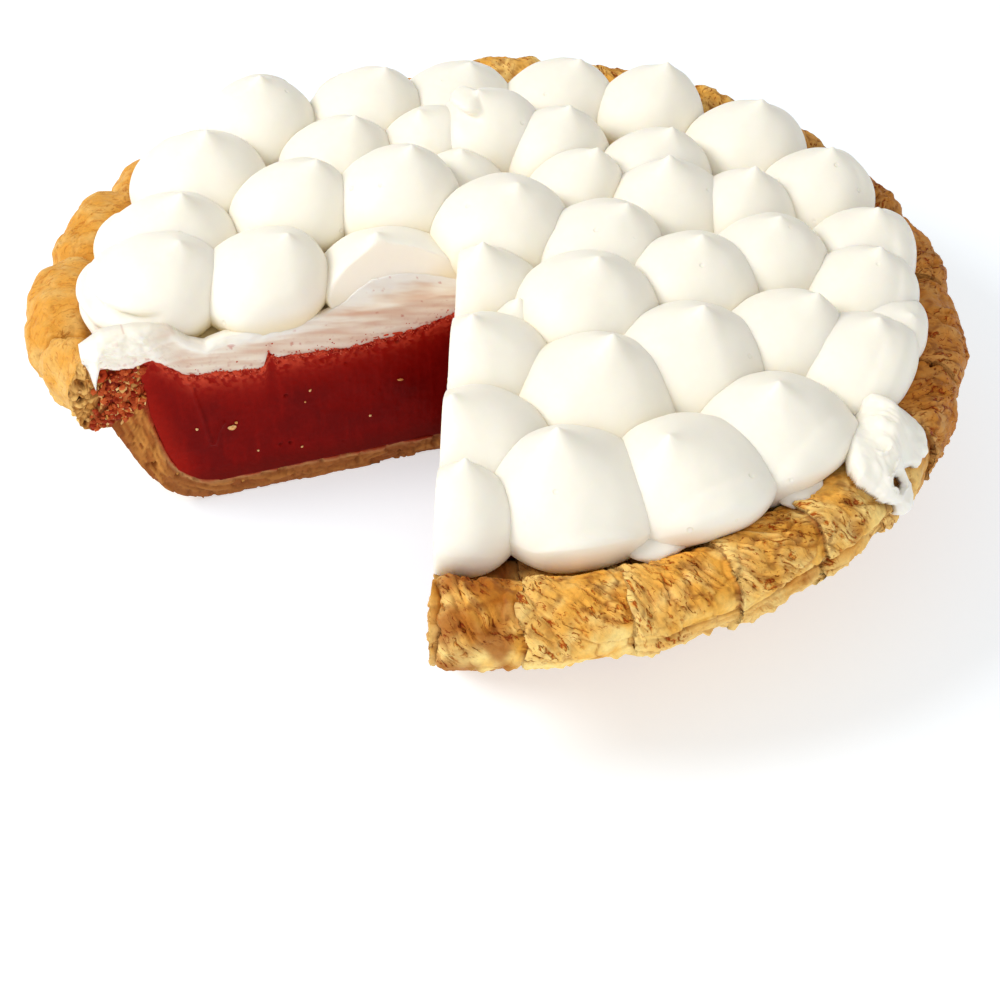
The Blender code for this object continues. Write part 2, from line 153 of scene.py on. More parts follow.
def paint(colour: tuple | Array, *coats: tuple[tuple, Array]) -> Array:
    """Lays coats, each a colour and the share it covers at each point, over a first colour."""
    return reduce(lambda under, coat: blend(under, *coat), coats, colour)


def linear(*screen: float) -> tuple[float, ...]:
    """The linear colour that a shader takes, from a screen colour of 0 to 255."""
    return tuple(
        (c / 255 / 12.92) if c / 255 <= 0.04045 else ((c / 255 + 0.055) / 1.055) ** 2.4
        for c in screen
    )


def apart_from(line: tuple, places: Array, most: float) -> Array:
    """How far places are from a line of corners.

    Args:
        line: The corners.
        places: The places, in the same plane.
        most: The distance that far places get.

    Returns:
        The distances.
    """
    nearest = np.full(places.shape[:-1], most)
    for first, last in zip(line, line[1:]):
        start, step = np.array(first), np.subtract(last, first)
        share = np.clip((places - start) @ step / (step @ step), 0.0, 1.0)
        apart = length_of(places - start - share[..., None] * step)
        nearest = np.minimum(nearest, apart)
    return nearest


def read_line(points: tuple, at: Array) -> Array:
    """The height of a line at some places, from its corners as (place, height)."""
    line = np.array(sorted(points), float)
    return np.interp(at, line[:, 0], line[:, 1])


def even_line(points: list | tuple, count: int, rounds: int = 2) -> Array:
    """A smoothed line with evenly spaced points.

    Args:
        points: The corners of the line.
        count: How many points the result has.
        rounds: How many times the corners are cut.

    Returns:
        The points, count by the number of coordinates.
    """
    line = np.asarray(points, float)
    for _ in range(rounds):
        before, after = line[:-1], line[1:]
        cut = np.stack([before * 0.75 + after * 0.25, before * 0.25 + after * 0.75], axis=1)
        line = np.concatenate([line[:1], cut.reshape(-1, line.shape[1]), line[-1:]])
    length = lengths_along(line)
    return merged(*(np.interp(evenly(count) * length[-1], length, column) for column in line.T))


class Grain:
    """Repeatable smooth noise and cells in space, from one seed."""

    def __init__(self, seed: int) -> None:
        """Draws the tables.

        Args:
            seed: The seed of the random numbers.
        """
        rng = np.random.default_rng(seed)
        self.order = np.tile(rng.permutation(256), 3)
        slopes = rng.normal(size=(256, 3))
        self.slopes = slopes / np.linalg.norm(slopes, axis=1, keepdims=True)
        self.spots = rng.random((256, 3))

    def _key(self, cell: Array) -> Array:
        """A table index for each whole-numbered cell."""
        x, y, z = (cell[..., i] & 255 for i in range(3))
        return self.order[self.order[self.order[x] + y] + z]

    def at(self, points: Array, size: float | tuple[float, float, float] = 1.0) -> Array:
        """Smooth noise, mostly between -1 and 1.

        Args:
            points: Points in space.
            size: The size of one wave, or one for each axis.

        Returns:
            One number for each point.
        """
        scaled = points / np.asarray(size)
        cell = np.floor(scaled).astype(int)
        part = scaled - cell
        fade = part ** 3 * (part * (part * 6.0 - 15.0) + 10.0)
        total = np.zeros(scaled.shape[:-1])
        for corner in product((0, 1), repeat=3):
            slope = self.slopes[self._key(cell + np.array(corner))]
            weight = np.where(corner, fade, 1.0 - fade).prod(axis=-1)
            total += weight * ((part - corner) * slope).sum(axis=-1)
        return total * 1.55

    def layers(self, points: Array, size: float, count: int = 3, fall: float = 0.5) -> Array:
        """Noise on noise, each layer half as large as the one before.

        Args:
            points: Points in space.
            size: The size of the largest wave.
            count: How many layers.
            fall: How strong each layer is against the one before.

        Returns:
            One number for each point, mostly between -1 and 1.
        """
        total = np.zeros(points.shape[:-1])
        weight, whole = 1.0, 0.0
        for layer in range(count):
            total += weight * self.at(points + 17.3 * layer, size / 2.0 ** layer)
            whole += weight
            weight *= fall
        return total / whole * 1.25

    def cells(self, points: Array, size: float | tuple[float, float, float]) -> tuple[Array, ...]:
        """Cells about scattered middles.

        Args:
            points: Points in space.
            size: The size of a cell, or one for each axis.

        Returns:
            A distance that is 0 between two cells, and a number from 0 to 1 for each cell.
        """
        scaled = points / np.asarray(size)
        cell = np.floor(scaled).astype(int)
        nearest = np.full(scaled.shape[:-1], 9.0)
        second = nearest.copy()
        name = np.zeros(scaled.shape[:-1])
        for corner in product((-1, 0, 1), repeat=3):
            home = cell + np.array(corner)
            key = self._key(home)
            apart = length_of(home + self.spots[key] - scaled)
            closer = apart < nearest
            second = np.where(closer, nearest, np.minimum(second, apart))
            name = np.where(closer, key / 255.0, name)
            nearest = np.where(closer, apart, nearest)
        return second - nearest, name


# Meshes


def sheet_faces(rows: int, columns: int, start: int = 0, around: bool = False) -> list:
    """The four-sided faces of a grid of points that are numbered row by row.

    Args:
        rows: How many rows of points.
        columns: How many points in a row.
        start: The number of the first point.
        around: Whether the last column joins the first.

    Returns:
        The faces as point numbers.
    """
    row, column = np.meshgrid(
        np.arange(rows - 1), np.arange(columns if around else columns - 1), indexing="ij"
    )
    after = (column + 1) % columns
    corners = merged(
        row * columns + column, row * columns + after,
        (row + 1) * columns + after, (row + 1) * columns + column,
    )
    return (corners.reshape(-1, 4) + start).tolist()


def add_object(name: str, data: ID) -> Object:
    """Adds an object to the scene.

    Args:
        name: Its name.
        data: Its mesh, light or camera.

    Returns:
        The object.
    """
    made = bpy.data.objects.new(name, data)
    bpy.context.scene.collection.objects.link(made)
    return made


def keep_on(mesh: Mesh, name: str, kind: str, key: str, values: Array) -> None:
    """Keeps values on the points of a mesh as an attribute of a kind, set by its key."""
    mesh.attributes.new(name, kind, "POINT").data.foreach_set(key, values.ravel())


def make_piece(
    name: str, points: Array, faces: list, material: Material, tint: Array,
    weld: float = 0.004, folds: Array | None = None,
) -> Object:
    """Makes one piece of the pie from points in millimetres.

    Args:
        name: The name of the piece.
        points: One point for each row.
        faces: Faces as point numbers.
        material: What it is made of.
        tint: A colour for each point, kept as the attribute "tint".
        weld: The distance below which points become one.
        folds: Each point's place among the wrinkles and their strength, if any.

    Returns:
        The object, with its faces outwards and its place in its mesh.
    """
    mesh = bpy.data.meshes.new(name)
    mesh.from_pydata((points * MM).tolist(), [], faces)
    whole = np.ones((len(points), 4))
    whole[:, :3] = tint
    keep_on(mesh, "tint", "FLOAT_COLOR", "color", whole)
    if folds is not None:
        whole = np.zeros((len(points), 4))
        whole[:len(folds)] = folds
        keep_on(mesh, "folds", "FLOAT_VECTOR", "vector", whole[:, :3])
        keep_on(mesh, "wrinkled", "FLOAT", "value", whole[:, 3])
    shape = bmesh.new()
    shape.from_mesh(mesh)
    if weld:
        bmesh.ops.remove_doubles(shape, verts=shape.verts, dist=weld * MM)
    bmesh.ops.dissolve_degenerate(shape, edges=shape.edges, dist=1e-7)
    bmesh.ops.recalc_face_normals(shape, faces=shape.faces)
    shape.to_mesh(mesh)
    shape.free()
    mesh.shade_smooth()
    mesh.materials.append(material)
    return add_object(name, mesh)


def joining_faces(edge: list, count: int) -> list:
    """The faces from a line of points to the same line in the grid that is numbered after it."""
    return [(start, after, after + count, start + count) for start, after in zip(edge, edge[1:])]


def make_sheet(name: str, front: Array, rear: Array, material: Material, tint: Array) -> Object:
    """Makes a thin closed sheet from two grids of the same size.

    Args:
        name: The name of the piece.
        front: The grid that shows.
        rear: The grid behind it.
        material: What it is made of.
        tint: The colours of each grid.

    Returns:
        The sheet.
    """
    rows, columns = front.shape[:2]
    count = rows * columns
    number = np.arange(count).reshape(rows, columns)
    rim = [*number[0], *number[1:, -1], *number[-1, -2::-1], *number[-2::-1, 0]]
    faces = sheet_faces(rows, columns) + sheet_faces(rows, columns, start=count)
    faces += joining_faces([int(point) for point in rim], count)
    return make_piece(name, listed(front, rear), faces, material, listed(tint, tint))


def hand_over(piece: Object, slot: Slot, *nodes: str) -> None:
    """Lets a piece ride with the pie and stand for the solids it shows.

    Args:
        piece: The finished piece.
        slot: The material slot of the piece's finish; not used.
        nodes: The nodes that it replaces.
    """
    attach(piece, "root")
    if nodes:
        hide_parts(*nodes)
    log.info("%s: %d faces", piece.name, len(piece.data.polygons))


def normals_of(grid: Array) -> Array:
    """The unit normals of a grid of points, along the cross product of its rows and columns."""
    across = np.cross(np.gradient(grid, axis=0), np.gradient(grid, axis=1))
    return across / np.maximum(np.linalg.norm(across, axis=-1, keepdims=True), 1e-9)


# Materials


def set_inputs(tree: NodeTree, node: Node, inputs: dict) -> Node:
    """Sets and links the inputs of a node.

    Args:
        tree: The tree that the node is in.
        node: The node.
        inputs: By name or number, the value or the linked output of each input.

    Returns:
        The node.
    """
    for name, value in inputs.items():
        if isinstance(value, NodeSocket):
            tree.links.new(value, node.inputs[name])
        else:
            node.inputs[name].default_value = value
    return node


def add_node(tree: NodeTree, kind: str, inputs: dict | None = None, **settings: object) -> Node:
    """Adds a node to a tree.

    Args:
        tree: The tree.
        kind: The type of the node.
        inputs: Its inputs, as set_inputs takes them.
        settings: Its properties, set first.

    Returns:
        The node.
    """
    node = tree.nodes.new(kind)
    for name, value in settings.items():
        setattr(node, name, value)
    return set_inputs(tree, node, inputs or {})


def calculate(tree: NodeTree, operation: str, *values: float | NodeSocket) -> NodeSocket:
    """The output of a Math node with an operation and its values."""
    return add_node(tree, "ShaderNodeMath", dict(enumerate(values)), operation=operation).outputs[0]


def map_range(
    tree: NodeTree, value: NodeSocket, source: tuple,
    target: tuple = (0.0, 1.0), kind: str = "SMOOTHSTEP",
) -> NodeSocket:
    """The output of a Map Range node from a source range to a target range."""
    names = ("Value", "From Min", "From Max", "To Min", "To Max")
    return add_node(
        tree, "ShaderNodeMapRange", dict(zip(names, (value, *source, *target))),
        interpolation_type=kind,
    ).outputs["Result"]


def new_group(
    name: str, kind: str, given: dict[str, str], made: dict[str, str]
) -> tuple[NodeTree, NodeOutputs, Node]:
    """Starts a node group.

    Args:
        name: Its name.
        kind: The type of the tree.
        given: The kind of each input, by its name.
        made: The kind of each output.

    Returns:
        The group, what it is given, and its output node.
    """
    group = bpy.data.node_groups.new(name, kind)
    for in_out, sockets in (("INPUT", given), ("OUTPUT", made)):
        for socket, what in sockets.items():
            group.interface.new_socket(socket, in_out=in_out, socket_type=f"NodeSocket{what}")
    given_node = group.nodes.new("NodeGroupInput")
    return group, given_node.outputs, group.nodes.new("NodeGroupOutput")


@dataclass(frozen=True)
class Finish:
    """A finish whose colour is painted on the points and broken up by fine grain in the shader."""

    name: str
    roughness: Pair
    grain_size: float  # millimetres
    grain_depth: float  # millimetres
    speckle: float  # how much the fine grain changes the colour
    specular: float
    subsurface: float
    subsurface_radius: tuple[float, float, float] = (1.0, 0.6, 0.3)
    subsurface_scale: float = 0.002
    pits: float = 0.0  # how deep the few small air holes are, in grain depths
    wrinkles: float = 0.0  # how deep the thin wrinkles are, in grain depths

    def build(self) -> Material:
        """Makes the material.

        Returns:
            A material that reads the attributes "tint", "folds" and "wrinkled".
        """
        material = bpy.data.materials.new(self.name)
        material.use_nodes = True
        tree = material.node_tree
        tint, folds, wrinkled = (
            add_node(tree, "ShaderNodeAttribute", attribute_name=name).outputs
            for name in ("tint", "folds", "wrinkled")
        )
        surface = add_node(tree, "ShaderNodeGroup", {
            "Place": add_node(tree, "ShaderNodeTexCoord").outputs["Object"],
            "Tint": tint["Color"], "Folds": folds["Vector"], "Wrinkled": wrinkled["Fac"],
            "Scale": 1.0 / (self.grain_size * MM), "Speckle": self.speckle,
            "Rough From": self.roughness[0], "Rough To": self.roughness[1],
            "Pits": self.pits, "Wrinkle Depth": self.wrinkles,
        }, node_tree=speckled_group()).outputs
        bump = add_node(tree, "ShaderNodeBump", {
            "Distance": self.grain_depth * MM, "Strength": 1.0, "Height": surface["Height"],
        })
        set_inputs(tree, tree.nodes["Principled BSDF"], {
            "Base Color": surface["Colour"], "Roughness": surface["Roughness"],
            "Normal": bump.outputs["Normal"], "Specular IOR Level": self.specular,
            "Subsurface Weight": self.subsurface, "Subsurface Radius": self.subsurface_radius,
            "Subsurface Scale": self.subsurface_scale,
        })
        return material


@cache
def speckled_group() -> NodeTree:
    """The shared shader group that lays fine grain, pits and wrinkles over a painted colour.

    Returns:
        The group, made on the first call.
    """
    amounts = ("Scale", "Speckle", "Rough From", "Rough To", "Pits", "Wrinkled", "Wrinkle Depth")
    group, given, out = new_group(
        "speckled_surface", "ShaderNodeTree",
        {"Place": "Vector", "Folds": "Vector", "Tint": "Color", **dict.fromkeys(amounts, "Float")},
        {"Colour": "Color", "Roughness": "Float", "Height": "Float"},
    )
    fine = add_node(group, "ShaderNodeTexNoise", {
        "Vector": given["Place"], "Scale": given["Scale"], "Detail": 3.0, "Roughness": 0.62,
    }).outputs["Fac"]
    spread = map_range(group, fine, (0.3, 0.7), kind="LINEAR")
    centred = calculate(group, "SUBTRACT", spread, 0.5)
    amount = calculate(group, "MULTIPLY_ADD", centred, given["Speckle"], 1.0)
    colour = add_node(
        group, "ShaderNodeVectorMath", {0: given["Tint"], "Scale": amount}, operation="SCALE"
    ).outputs["Vector"]
    on_line, sunken = wrinkle_lines(group, given)
    for share, shade in ((sunken, (0.90, 0.60, 0.30, 1.0)), (on_line, (0.48, 0.20, 0.10, 1.0))):
        colour = add_node(
            group, "ShaderNodeMix", {"Factor": share, "A": colour, "B": shade},
            data_type="RGBA", blend_type="MULTIPLY",
        ).outputs["Result"]
    holes = add_node(group, "ShaderNodeTexVoronoi", {"Vector": given["Place"], "Scale": 85.0})
    hole = map_range(group, holes.outputs["Distance"], (0.035, 0.075), (-1.0, 0.0))
    pitted = calculate(group, "MULTIPLY_ADD", hole, given["Pits"], fine)
    sunk = calculate(group, "MULTIPLY", sunken, given["Wrinkle Depth"])
    rough = (given["Rough From"], given["Rough To"])
    set_inputs(group, out, {
        "Colour": colour, "Height": calculate(group, "SUBTRACT", pitted, sunk),
        "Roughness": map_range(group, spread, (0.0, 1.0), rough, "LINEAR"),
    })
    return group


def wrinkle_lines(group: NodeTree, given: NodeOutputs) -> tuple[NodeSocket, ...]:
    """Adds the thin, broken lines of wrinkles in two sizes to the shared shader group.

    Args:
        group: The group.
        given: What it is given.

    Returns:
        The output that is 1 on a line, and the one that is 1 on it and falls off more widely.
    """
    folds = given["Folds"]
    broken, bend = (
        add_node(
            group, "ShaderNodeTexNoise", {"Vector": folds, "Scale": scale, "Detail": detail}
        ).outputs["Fac"]
        for scale, detail in ((1.1, 2.0), (1.2, 3.0))
    )
    across = add_node(group, "ShaderNodeSeparateXYZ", {"Vector": folds}).outputs["Y"]
    lines = []
    for count, bends, width, reached in (
        (0.85, 3.4, 0.19, (0.49, 0.64)), (1.5, 4.4, 0.12, (0.52, 0.36)),
    ):
        counted = calculate(group, "MULTIPLY", across, count)
        bent = calculate(group, "MULTIPLY_ADD", bend, bends, counted)
        off_line = calculate(group, "PINGPONG", bent, 0.5)
        lines.append((off_line, map_range(group, broken, reached, (0.0, width), "LINEAR")))
    both = calculate(
        group, "MAXIMUM", *(map_range(group, off_line, (reach, 0.0)) for off_line, reach in lines)
    )
    off_line, reach = lines[0]
    valley = map_range(group, off_line, (calculate(group, "MULTIPLY", reach, 2.6), 0.0))
    return tuple(calculate(group, "MULTIPLY", share, given["Wrinkled"]) for share in (both, valley))


PASTRY_FINISH = Finish(
    "golden_pastry", (0.42, 0.68), grain_size=0.9, grain_depth=0.10, speckle=0.18,
    specular=0.08, subsurface=0.06, wrinkles=4.5,
)
CUSTARD_FINISH = Finish(
    "red_custard", (0.30, 0.45), grain_size=1.6, grain_depth=0.05, speckle=0.16,
    specular=0.04, subsurface=0.06, subsurface_radius=(1.0, 0.05, 0.03),
)
CREAM_FINISH = Finish(
    "whipped_cream", (0.42, 0.55), grain_size=2.2, grain_depth=0.025, speckle=0.012,
    specular=0.35, subsurface=0.35, subsurface_radius=(1.0, 0.8, 0.5), subsurface_scale=0.006,
    pits=9.0,
)
CREAM_WHITE = (0.95, 0.905, 0.80)
# cream in deep shade: painted shade for the cream bed and the creases between kisses
CREAM_IN_SHADE = (0.86, 0.70, 0.38)


# The missing slice


@dataclass(frozen=True)
class MissingSlice:
    """The slice that is taken out: its point and the directions of its two faces."""

    point: Pair | Array = (-9.5, -4.0)
    left_deg: float = 198.2
    right_deg: float = 267.3

    def along(self, side: Side) -> Array:
        """The level direction from the slice's point out along a face."""
        return polar(self.left_deg if side is Side.LEFT else self.right_deg)

    def out(self, side: Side) -> Array:
        """The level direction in which a face looks."""
        return polar(self.left_deg + 90.0 if side is Side.LEFT else self.right_deg - 90.0)

    def on_face(self, side: Side, along: Array, height: Array, off: Array) -> Array:
        """Points in space by their distances along a face, their heights and how far off it."""
        along, off = (np.asarray(distance)[..., None] for distance in (along, off))
        return raised(self.point + self.along(side) * along + self.out(side) * off, height)

    def set_back(self, depth: float) -> "MissingSlice":
        """The same slice with both faces moved into the pie by a depth."""
        planes = np.array([self.out(Side.LEFT), self.out(Side.RIGHT)])
        return replace(self, point=np.linalg.solve(planes, planes @ self.point - depth))

    def face_reach(self, side: Side, radius: Array) -> Array:
        """How far along a face it meets circles about the middle."""
        return length_of(self.on_ray(self.along(side), radius) - np.array(self.point))

    def rays(self, shares: Array) -> Array:
        """Level directions from the right face, at share 0, round the back to the left face."""
        turn = self.left_deg + 360.0 - self.right_deg
        return polar(self.right_deg + turn * shares)

    def on_ray(self, headings: Array, radius: Array) -> Array:
        """Where rays from the slice's point meet circles about the middle.

        Args:
            headings: Unit vectors.
            radius: The radii of the circles.

        Returns:
            Places on the ground.
        """
        start = np.array(self.point)
        ahead = headings @ start
        radius = np.maximum(radius, np.linalg.norm(start))
        reach = -ahead + np.sqrt(ahead * ahead + radius * radius - start @ start)
        return start + headings * reach[..., None]


SLICE = MissingSlice()


# The crust


@dataclass
class Crust:
    """The pastry: a floor and wall that hold the filling, and the thick crimped rim."""

    pastry: Material
    floor_thickness: float = 6.0
    foot_radius: float = 87.0
    rim_centre: Pair = (122.0, 46.0)
    rim_length_at: float = 128.0  # the radius at which distances round the rim are measured
    rim_half_width: float = 9.8
    rim_half_height: float = 10.0
    rim_arc_deg: tuple[float, ...] = (158.0, 130.0, 102.0, 74.0, 46.0, 18.0, -8.0, -34.0, -72.0)
    inner_wall: tuple = (
        (83.0, 6.3), (89.0, 8.3), (94.6, 12.8), (97.6, 19.5), (100.4, 32.0), (102.0, 47.0),
    )
    shoulder: tuple = ((104.5, 50.2), (109.5, 50.6))
    outer_wall: tuple = ((112.0, 34.0), (105.6, 18.0), (101.0, 9.0), (94.5, 3.0))
    rim_reach: float = 133.0
    rim_starts_at: Pair = (113.0, 120.0)
    rim_hangs_to: Pair = (32.0, 37.0)
    creases_deg: tuple[float, ...] = (
        3, 19, 35, 51, 67, 82, 96, 110, 125, 141, 156, 172.5, 190, 207, 220, 235, 250, 264, 273,
        284.5, 297, 309, 320, 331, 345,
    )
    crimp_swell: float = 1.8
    crimp_crease: float = 3.0
    crease_fades: Pair = (34.0, 46.0)
    crimp_skew: float = 0.75
    rim_roughness: float = 1.2
    rim_grain: float = 9.0
    torn_end_reach: float = 12.0
    torn_end_spread: float = 11.0
    torn_end_stop_deg: Pair = (247.0, 257.0)
    squeeze_deg: tuple[float, ...] = (92.0, 108.0, 137.0, 150.0)
    squeeze_in: float = 9.0
    squeeze_down: float = 3.0
    ledge_deg: tuple[float, ...] = (298.0, 304.0, 321.0, 327.0)
    ledge_height: float = 45.0
    ledge_half_height: float = 3.0
    ledge_depth: float = 3.0
    rows_inside: int = 34
    rows_outside: int = 114
    grain: Grain = Grain(11)
    torn: Array | None = None

    def crimp_place(self, direction_deg: Array) -> tuple[Array, Array, Array]:
        """Where directions lie within their crimp.

        Args:
            direction_deg: Directions in degrees.

        Returns:
            The share of the way to the next crease, the crimp's number and width.
        """
        creases = np.array(self.creases_deg)
        turn = (direction_deg - creases[0]) % 360.0 + creases[0]
        number = np.searchsorted(creases, turn, side="right") - 1
        ends = np.append(creases[1:], creases[0] + 360.0)
        width = ends[number] - creases[number]
        return (turn - creases[number]) / width, number, width

    def crimp_at(self, direction_deg: Array) -> Array:
        """How far the rim swells: 0 in a crease and 1 on the crest of a crimp."""
        along = self.crimp_place(direction_deg)[0] ** self.crimp_skew
        return np.sqrt(np.maximum(0.0, 4.0 * along * (1.0 - along)))

    def pleat_at(self, direction_deg: Array) -> Array:
        """The same swell, with narrow creases and steps where the rim is folded in pleats.

        Args:
            direction_deg: Directions in degrees.

        Returns:
            The swell at each direction.
        """
        share = self.crimp_place(direction_deg)[0]
        pleated = between((262.0, 268.0, 335.0, 350.0), direction_deg % 360.0)
        round_ = self.crimp_at(direction_deg)
        step = 0.58 + 0.28 * (1.0 - share) ** 1.4 + 0.12 * np.sin(math.pi * share)
        return round_ ** 0.9 * (1.0 - pleated) + step * pleated

    def rim_share(self, radius: Array, height: Array) -> Array:
        """1 on the outside and top of the rim, and 0 on its inner flank, walls and foot."""
        return ramp(*self.rim_starts_at, radius) * ramp(*self.rim_hangs_to, height)

    def rim_offset(self, direction_deg: Array, radius: Array, height: Array, crimp: Array) -> Array:
        """How far the rim is moved outwards and upwards by its crimps and tears.

        Args:
            direction_deg: Directions from 0 to 360.
            radius: Radii on the plain rim.
            height: Heights on the plain rim.
            crimp: The swell at each direction.

        Returns:
            Moves in radius and height, in the last axis.
        """
        direction_deg, radius, height, crimp = np.broadcast_arrays(
            direction_deg, radius, height, crimp
        )
        share = self.rim_share(radius, height)
        across = merged(radius - self.rim_centre[0], height - self.rim_centre[1])
        across /= np.maximum(np.linalg.norm(across, axis=-1, keepdims=True), 1e-6)
        crease = (1.0 - crimp) * ramp(*self.crease_fades, height)
        swell = self.crimp_swell * crimp - self.crimp_crease * crease
        rough = packed_noise(raised(polar(direction_deg, radius), height), self.rim_grain)
        swell = swell + self.rim_roughness * rough
        off_ledge = np.abs(height - self.ledge_height) / self.ledge_half_height
        ledge = between(self.ledge_deg, direction_deg) * self.ledge_depth
        swell = swell - ledge * np.maximum(0.0, 1.0 - off_ledge)
        moved = across * (swell * share)[..., None]
        left = SLICE.left_deg
        torn = ramp(left - self.torn_end_spread, left, direction_deg)
        torn = torn * fall(*self.torn_end_stop_deg, direction_deg)
        outside = ramp(self.outer_wall[0][0], self.rim_reach, radius)
        moved[..., 0] -= torn * self.torn_end_reach * outside
        squeezed = between(self.squeeze_deg, direction_deg) * share
        moved[..., 0] -= self.squeeze_in * squeezed
        moved[..., 1] -= self.squeeze_down * squeezed
        return moved

    def rim_point(self, arc_deg: float) -> Pair:
        """The radius and height of a point of the plain rim, by its angle about the centre."""
        angle, (radius, height) = math.radians(arc_deg), self.rim_centre
        return (
            radius + self.rim_half_width * math.cos(angle),
            height + self.rim_half_height * math.sin(angle),
        )

    def crust_top(self, direction_deg: Array, radius: Array) -> Array:
        """The height of the crust's highest crimp between its shoulder and a radius.

        Args:
            direction_deg: Directions in degrees.
            radius: Radii, as many as directions.

        Returns:
            The heights.
        """
        highest = np.full(radius.shape, self.shoulder[-1][1])
        before = np.broadcast_to(np.array(self.shoulder[-1]), (*radius.shape, 2))
        for arc_deg in self.rim_arc_deg:
            plain = self.rim_point(arc_deg)
            after = self.rim_offset(direction_deg, plain[0], plain[1], 1.0) + plain
            run = after[..., 0] - before[..., 0]
            rising = (before[..., 0] < radius) & (run > 0.0)
            share = np.clip((radius - before[..., 0]) / np.maximum(run, 1e-6), 0.0, 1.0)
            height = before[..., 1] + (after[..., 1] - before[..., 1]) * share
            highest = np.where(rising, np.maximum(highest, height), highest)
            before = after
        return highest

    def columns(self, first: float, last: float) -> Array:
        """Directions of the rays through a stretch of the rim.

        Args:
            first: Where the stretch starts, in degrees.
            last: Where it ends.

        Returns:
            Directions, closer together at the front.
        """
        turn = np.linspace(first, last, 3000)
        spacing = np.interp(
            turn, (267, 333, 345, 360, 410, 480, 500, 559),
            (0.35, 0.38, 0.6, 0.8, 1.2, 1.2, 0.65, 0.5),
        )
        count = np.concatenate([[0.0], np.cumsum(np.diff(turn) / spacing[1:])])
        wanted = int(count[-1] * math.radians(1.0) * self.rim_length_at)
        return np.interp(np.linspace(0.0, count[-1], wanted), count, turn)

    def relief(self, points: Array, bent: Array, run: Array, rise: Array) -> tuple[Array, ...]:
        """The wrinkles, pleats, cracks and blisters of the baked rim.

        Args:
            points: The smooth surface.
            bent: The direction of each point as the pleats take it, in degrees.
            run: How far round the rim it is.
            rise: How far over the section it is.

        Returns:
            The relief, the colour with painted shade and highlights, and the place among the
            wrinkles.
        """
        grain = self.grain
        height = points[..., 2]
        slow = grain.layers(points + 50.0, 9.0, 2)
        soft = grain.layers(points + 7.0, 5.5)
        tiny = grain.layers(points + 70.0, 1.7, 2)
        direction = direction_of(points)
        place, number, width = self.crimp_place(bent)
        wide = np.radians(width) * self.rim_length_at
        after = place * wide
        ahead = (1.0 - place) * wide
        lower = fall(37.0, 44.0, height)
        top = ramp(46.0, 53.0, height)
        left = between((120.0, 150.0, 258.0, 266.0), direction)
        # long folds, as broad billows with narrow valleys between them
        turn = np.radians(50.0 + 12.0 * np.sin(number * 2.4))
        run_bent = run + 1.3 * grain.at(points + 33.0, 8.0) + 0.3 * tiny
        rise_bent = rise + 1.3 * grain.at(points + 93.0, 7.0) + 0.3 * tiny
        along = run_bent * np.cos(turn) + rise_bent * np.sin(turn)
        over = -run_bent * np.sin(turn) + rise_bent * np.cos(turn)
        line = merged(along / 11.5, over / 3.0, number * 3.7)
        gap, name = grain.cells(line, 1.0)
        fine_gap, small = grain.cells(line * (2.0, 2.2, 1.0) + 31.0, 1.0)
        patch = grain.layers(points + 90.0, 13.0, 2)
        strong = ramp(
            -0.15, 0.45, 0.9 * patch + 0.35 * top - 0.6 * lower - 0.9 * (place - 0.5)
        ) * (1.0 - 0.9 * left)
        valley = bell(gap, 0.12) + 0.45 * bell(fine_gap, 0.20)
        valley = valley * (0.35 + 0.65 * ramp(-0.35, 0.25, grain.at(points + 64.0, 3.6)))
        billow = 1.0 - np.exp(-gap / 0.40)
        # larger plates with cracks between them
        warped = points + 1.6 * merged(soft, slow, -soft)
        plate_gap, plate = grain.cells(warped, (10.0, 10.0, 7.0))
        crack = bell(plate_gap, 0.05)
        # pleats: a crease, painted dark as shade, with the ragged edge of the next pleat over it
        drawn = ramp(35.0, 43.0, height)
        crease = (bell(ahead, 0.5) + 0.7 * np.exp(-after / 0.4)) * drawn
        crease = crease * (0.35 + 0.65 * ramp(-0.4, 0.3, grain.at(points + 77.0, 6.0)))
        lip = np.exp(-after / 1.7) * drawn * (0.55 + 0.7 * soft + 0.7 * (name - 0.5))
        # the fold round the outside, its recess painted dark as shade, with flaky layers below it
        outside = rise > 24.0
        fold_height = 45.2 + 0.9 * slow + 0.5 * soft
        folded = between((283.0, 292.0, 321.0, 326.0), direction) * outside
        fold = bell(height - fold_height, 0.55) * folded
        under = fall(-1.2, 0.2, height - fold_height) * folded
        leaves = grain.at(merged(run / 9.0, height + 0.8 * slow, 0.0), 1.5)
        right = ramp(316.0, 338.0, direction) + fall(20.0, 60.0, direction)
        right = np.where((direction > 300.0) | (direction < 90.0), np.clip(right, 0.0, 1.0), 0.0)
        leafy = np.clip(under + 0.8 * right * (1.0 - top), 0.0, 1.0)
        hem = between((32.5, 35.5, 38.5, 42.0), height) * outside
        flakes = np.maximum(0.0, grain.layers(merged(run, height * 1.4, 0.0), 5.0))
        relief = (
            strong * (0.85 * billow + 0.5 * (name - 0.5) + 0.34 * (small - 0.5) - 0.5 * valley)
            + (1.0 - 0.6 * strong) * (0.6 * (plate - 0.5) - 0.30 * crack)
            + 0.60 * soft + 0.40 * slow + 0.07 * tiny + 0.55 * lip
            + 1.4 * left * (self.crimp_at(bent) - 0.6)
            - 0.9 * np.clip(crease, 0.0, 1.2)
            - 1.3 * fold - 0.5 * under + leafy * 0.45 * leaves + 2.7 * hem * flakes
        )
        gold, light = linear(242, 182, 78), linear(253, 220, 138)
        brown, rust = linear(172, 98, 24), linear(118, 50, 10)
        hue = grain.layers(points + 40.0, 8.0)
        pale = ramp(-0.5, 0.5, hue + 0.5 * lower - 0.2 * top + 0.3 * (plate - 0.5))
        toast = ramp(0.0, 0.8, -hue + 0.5 * top - 0.3 * lower + 0.25 * strong)
        # painted highlight: the crests of the wrinkle billows are painted lighter
        ridge = strong * ramp(0.5, 0.95, billow) * ramp(0.35, 0.8, name)
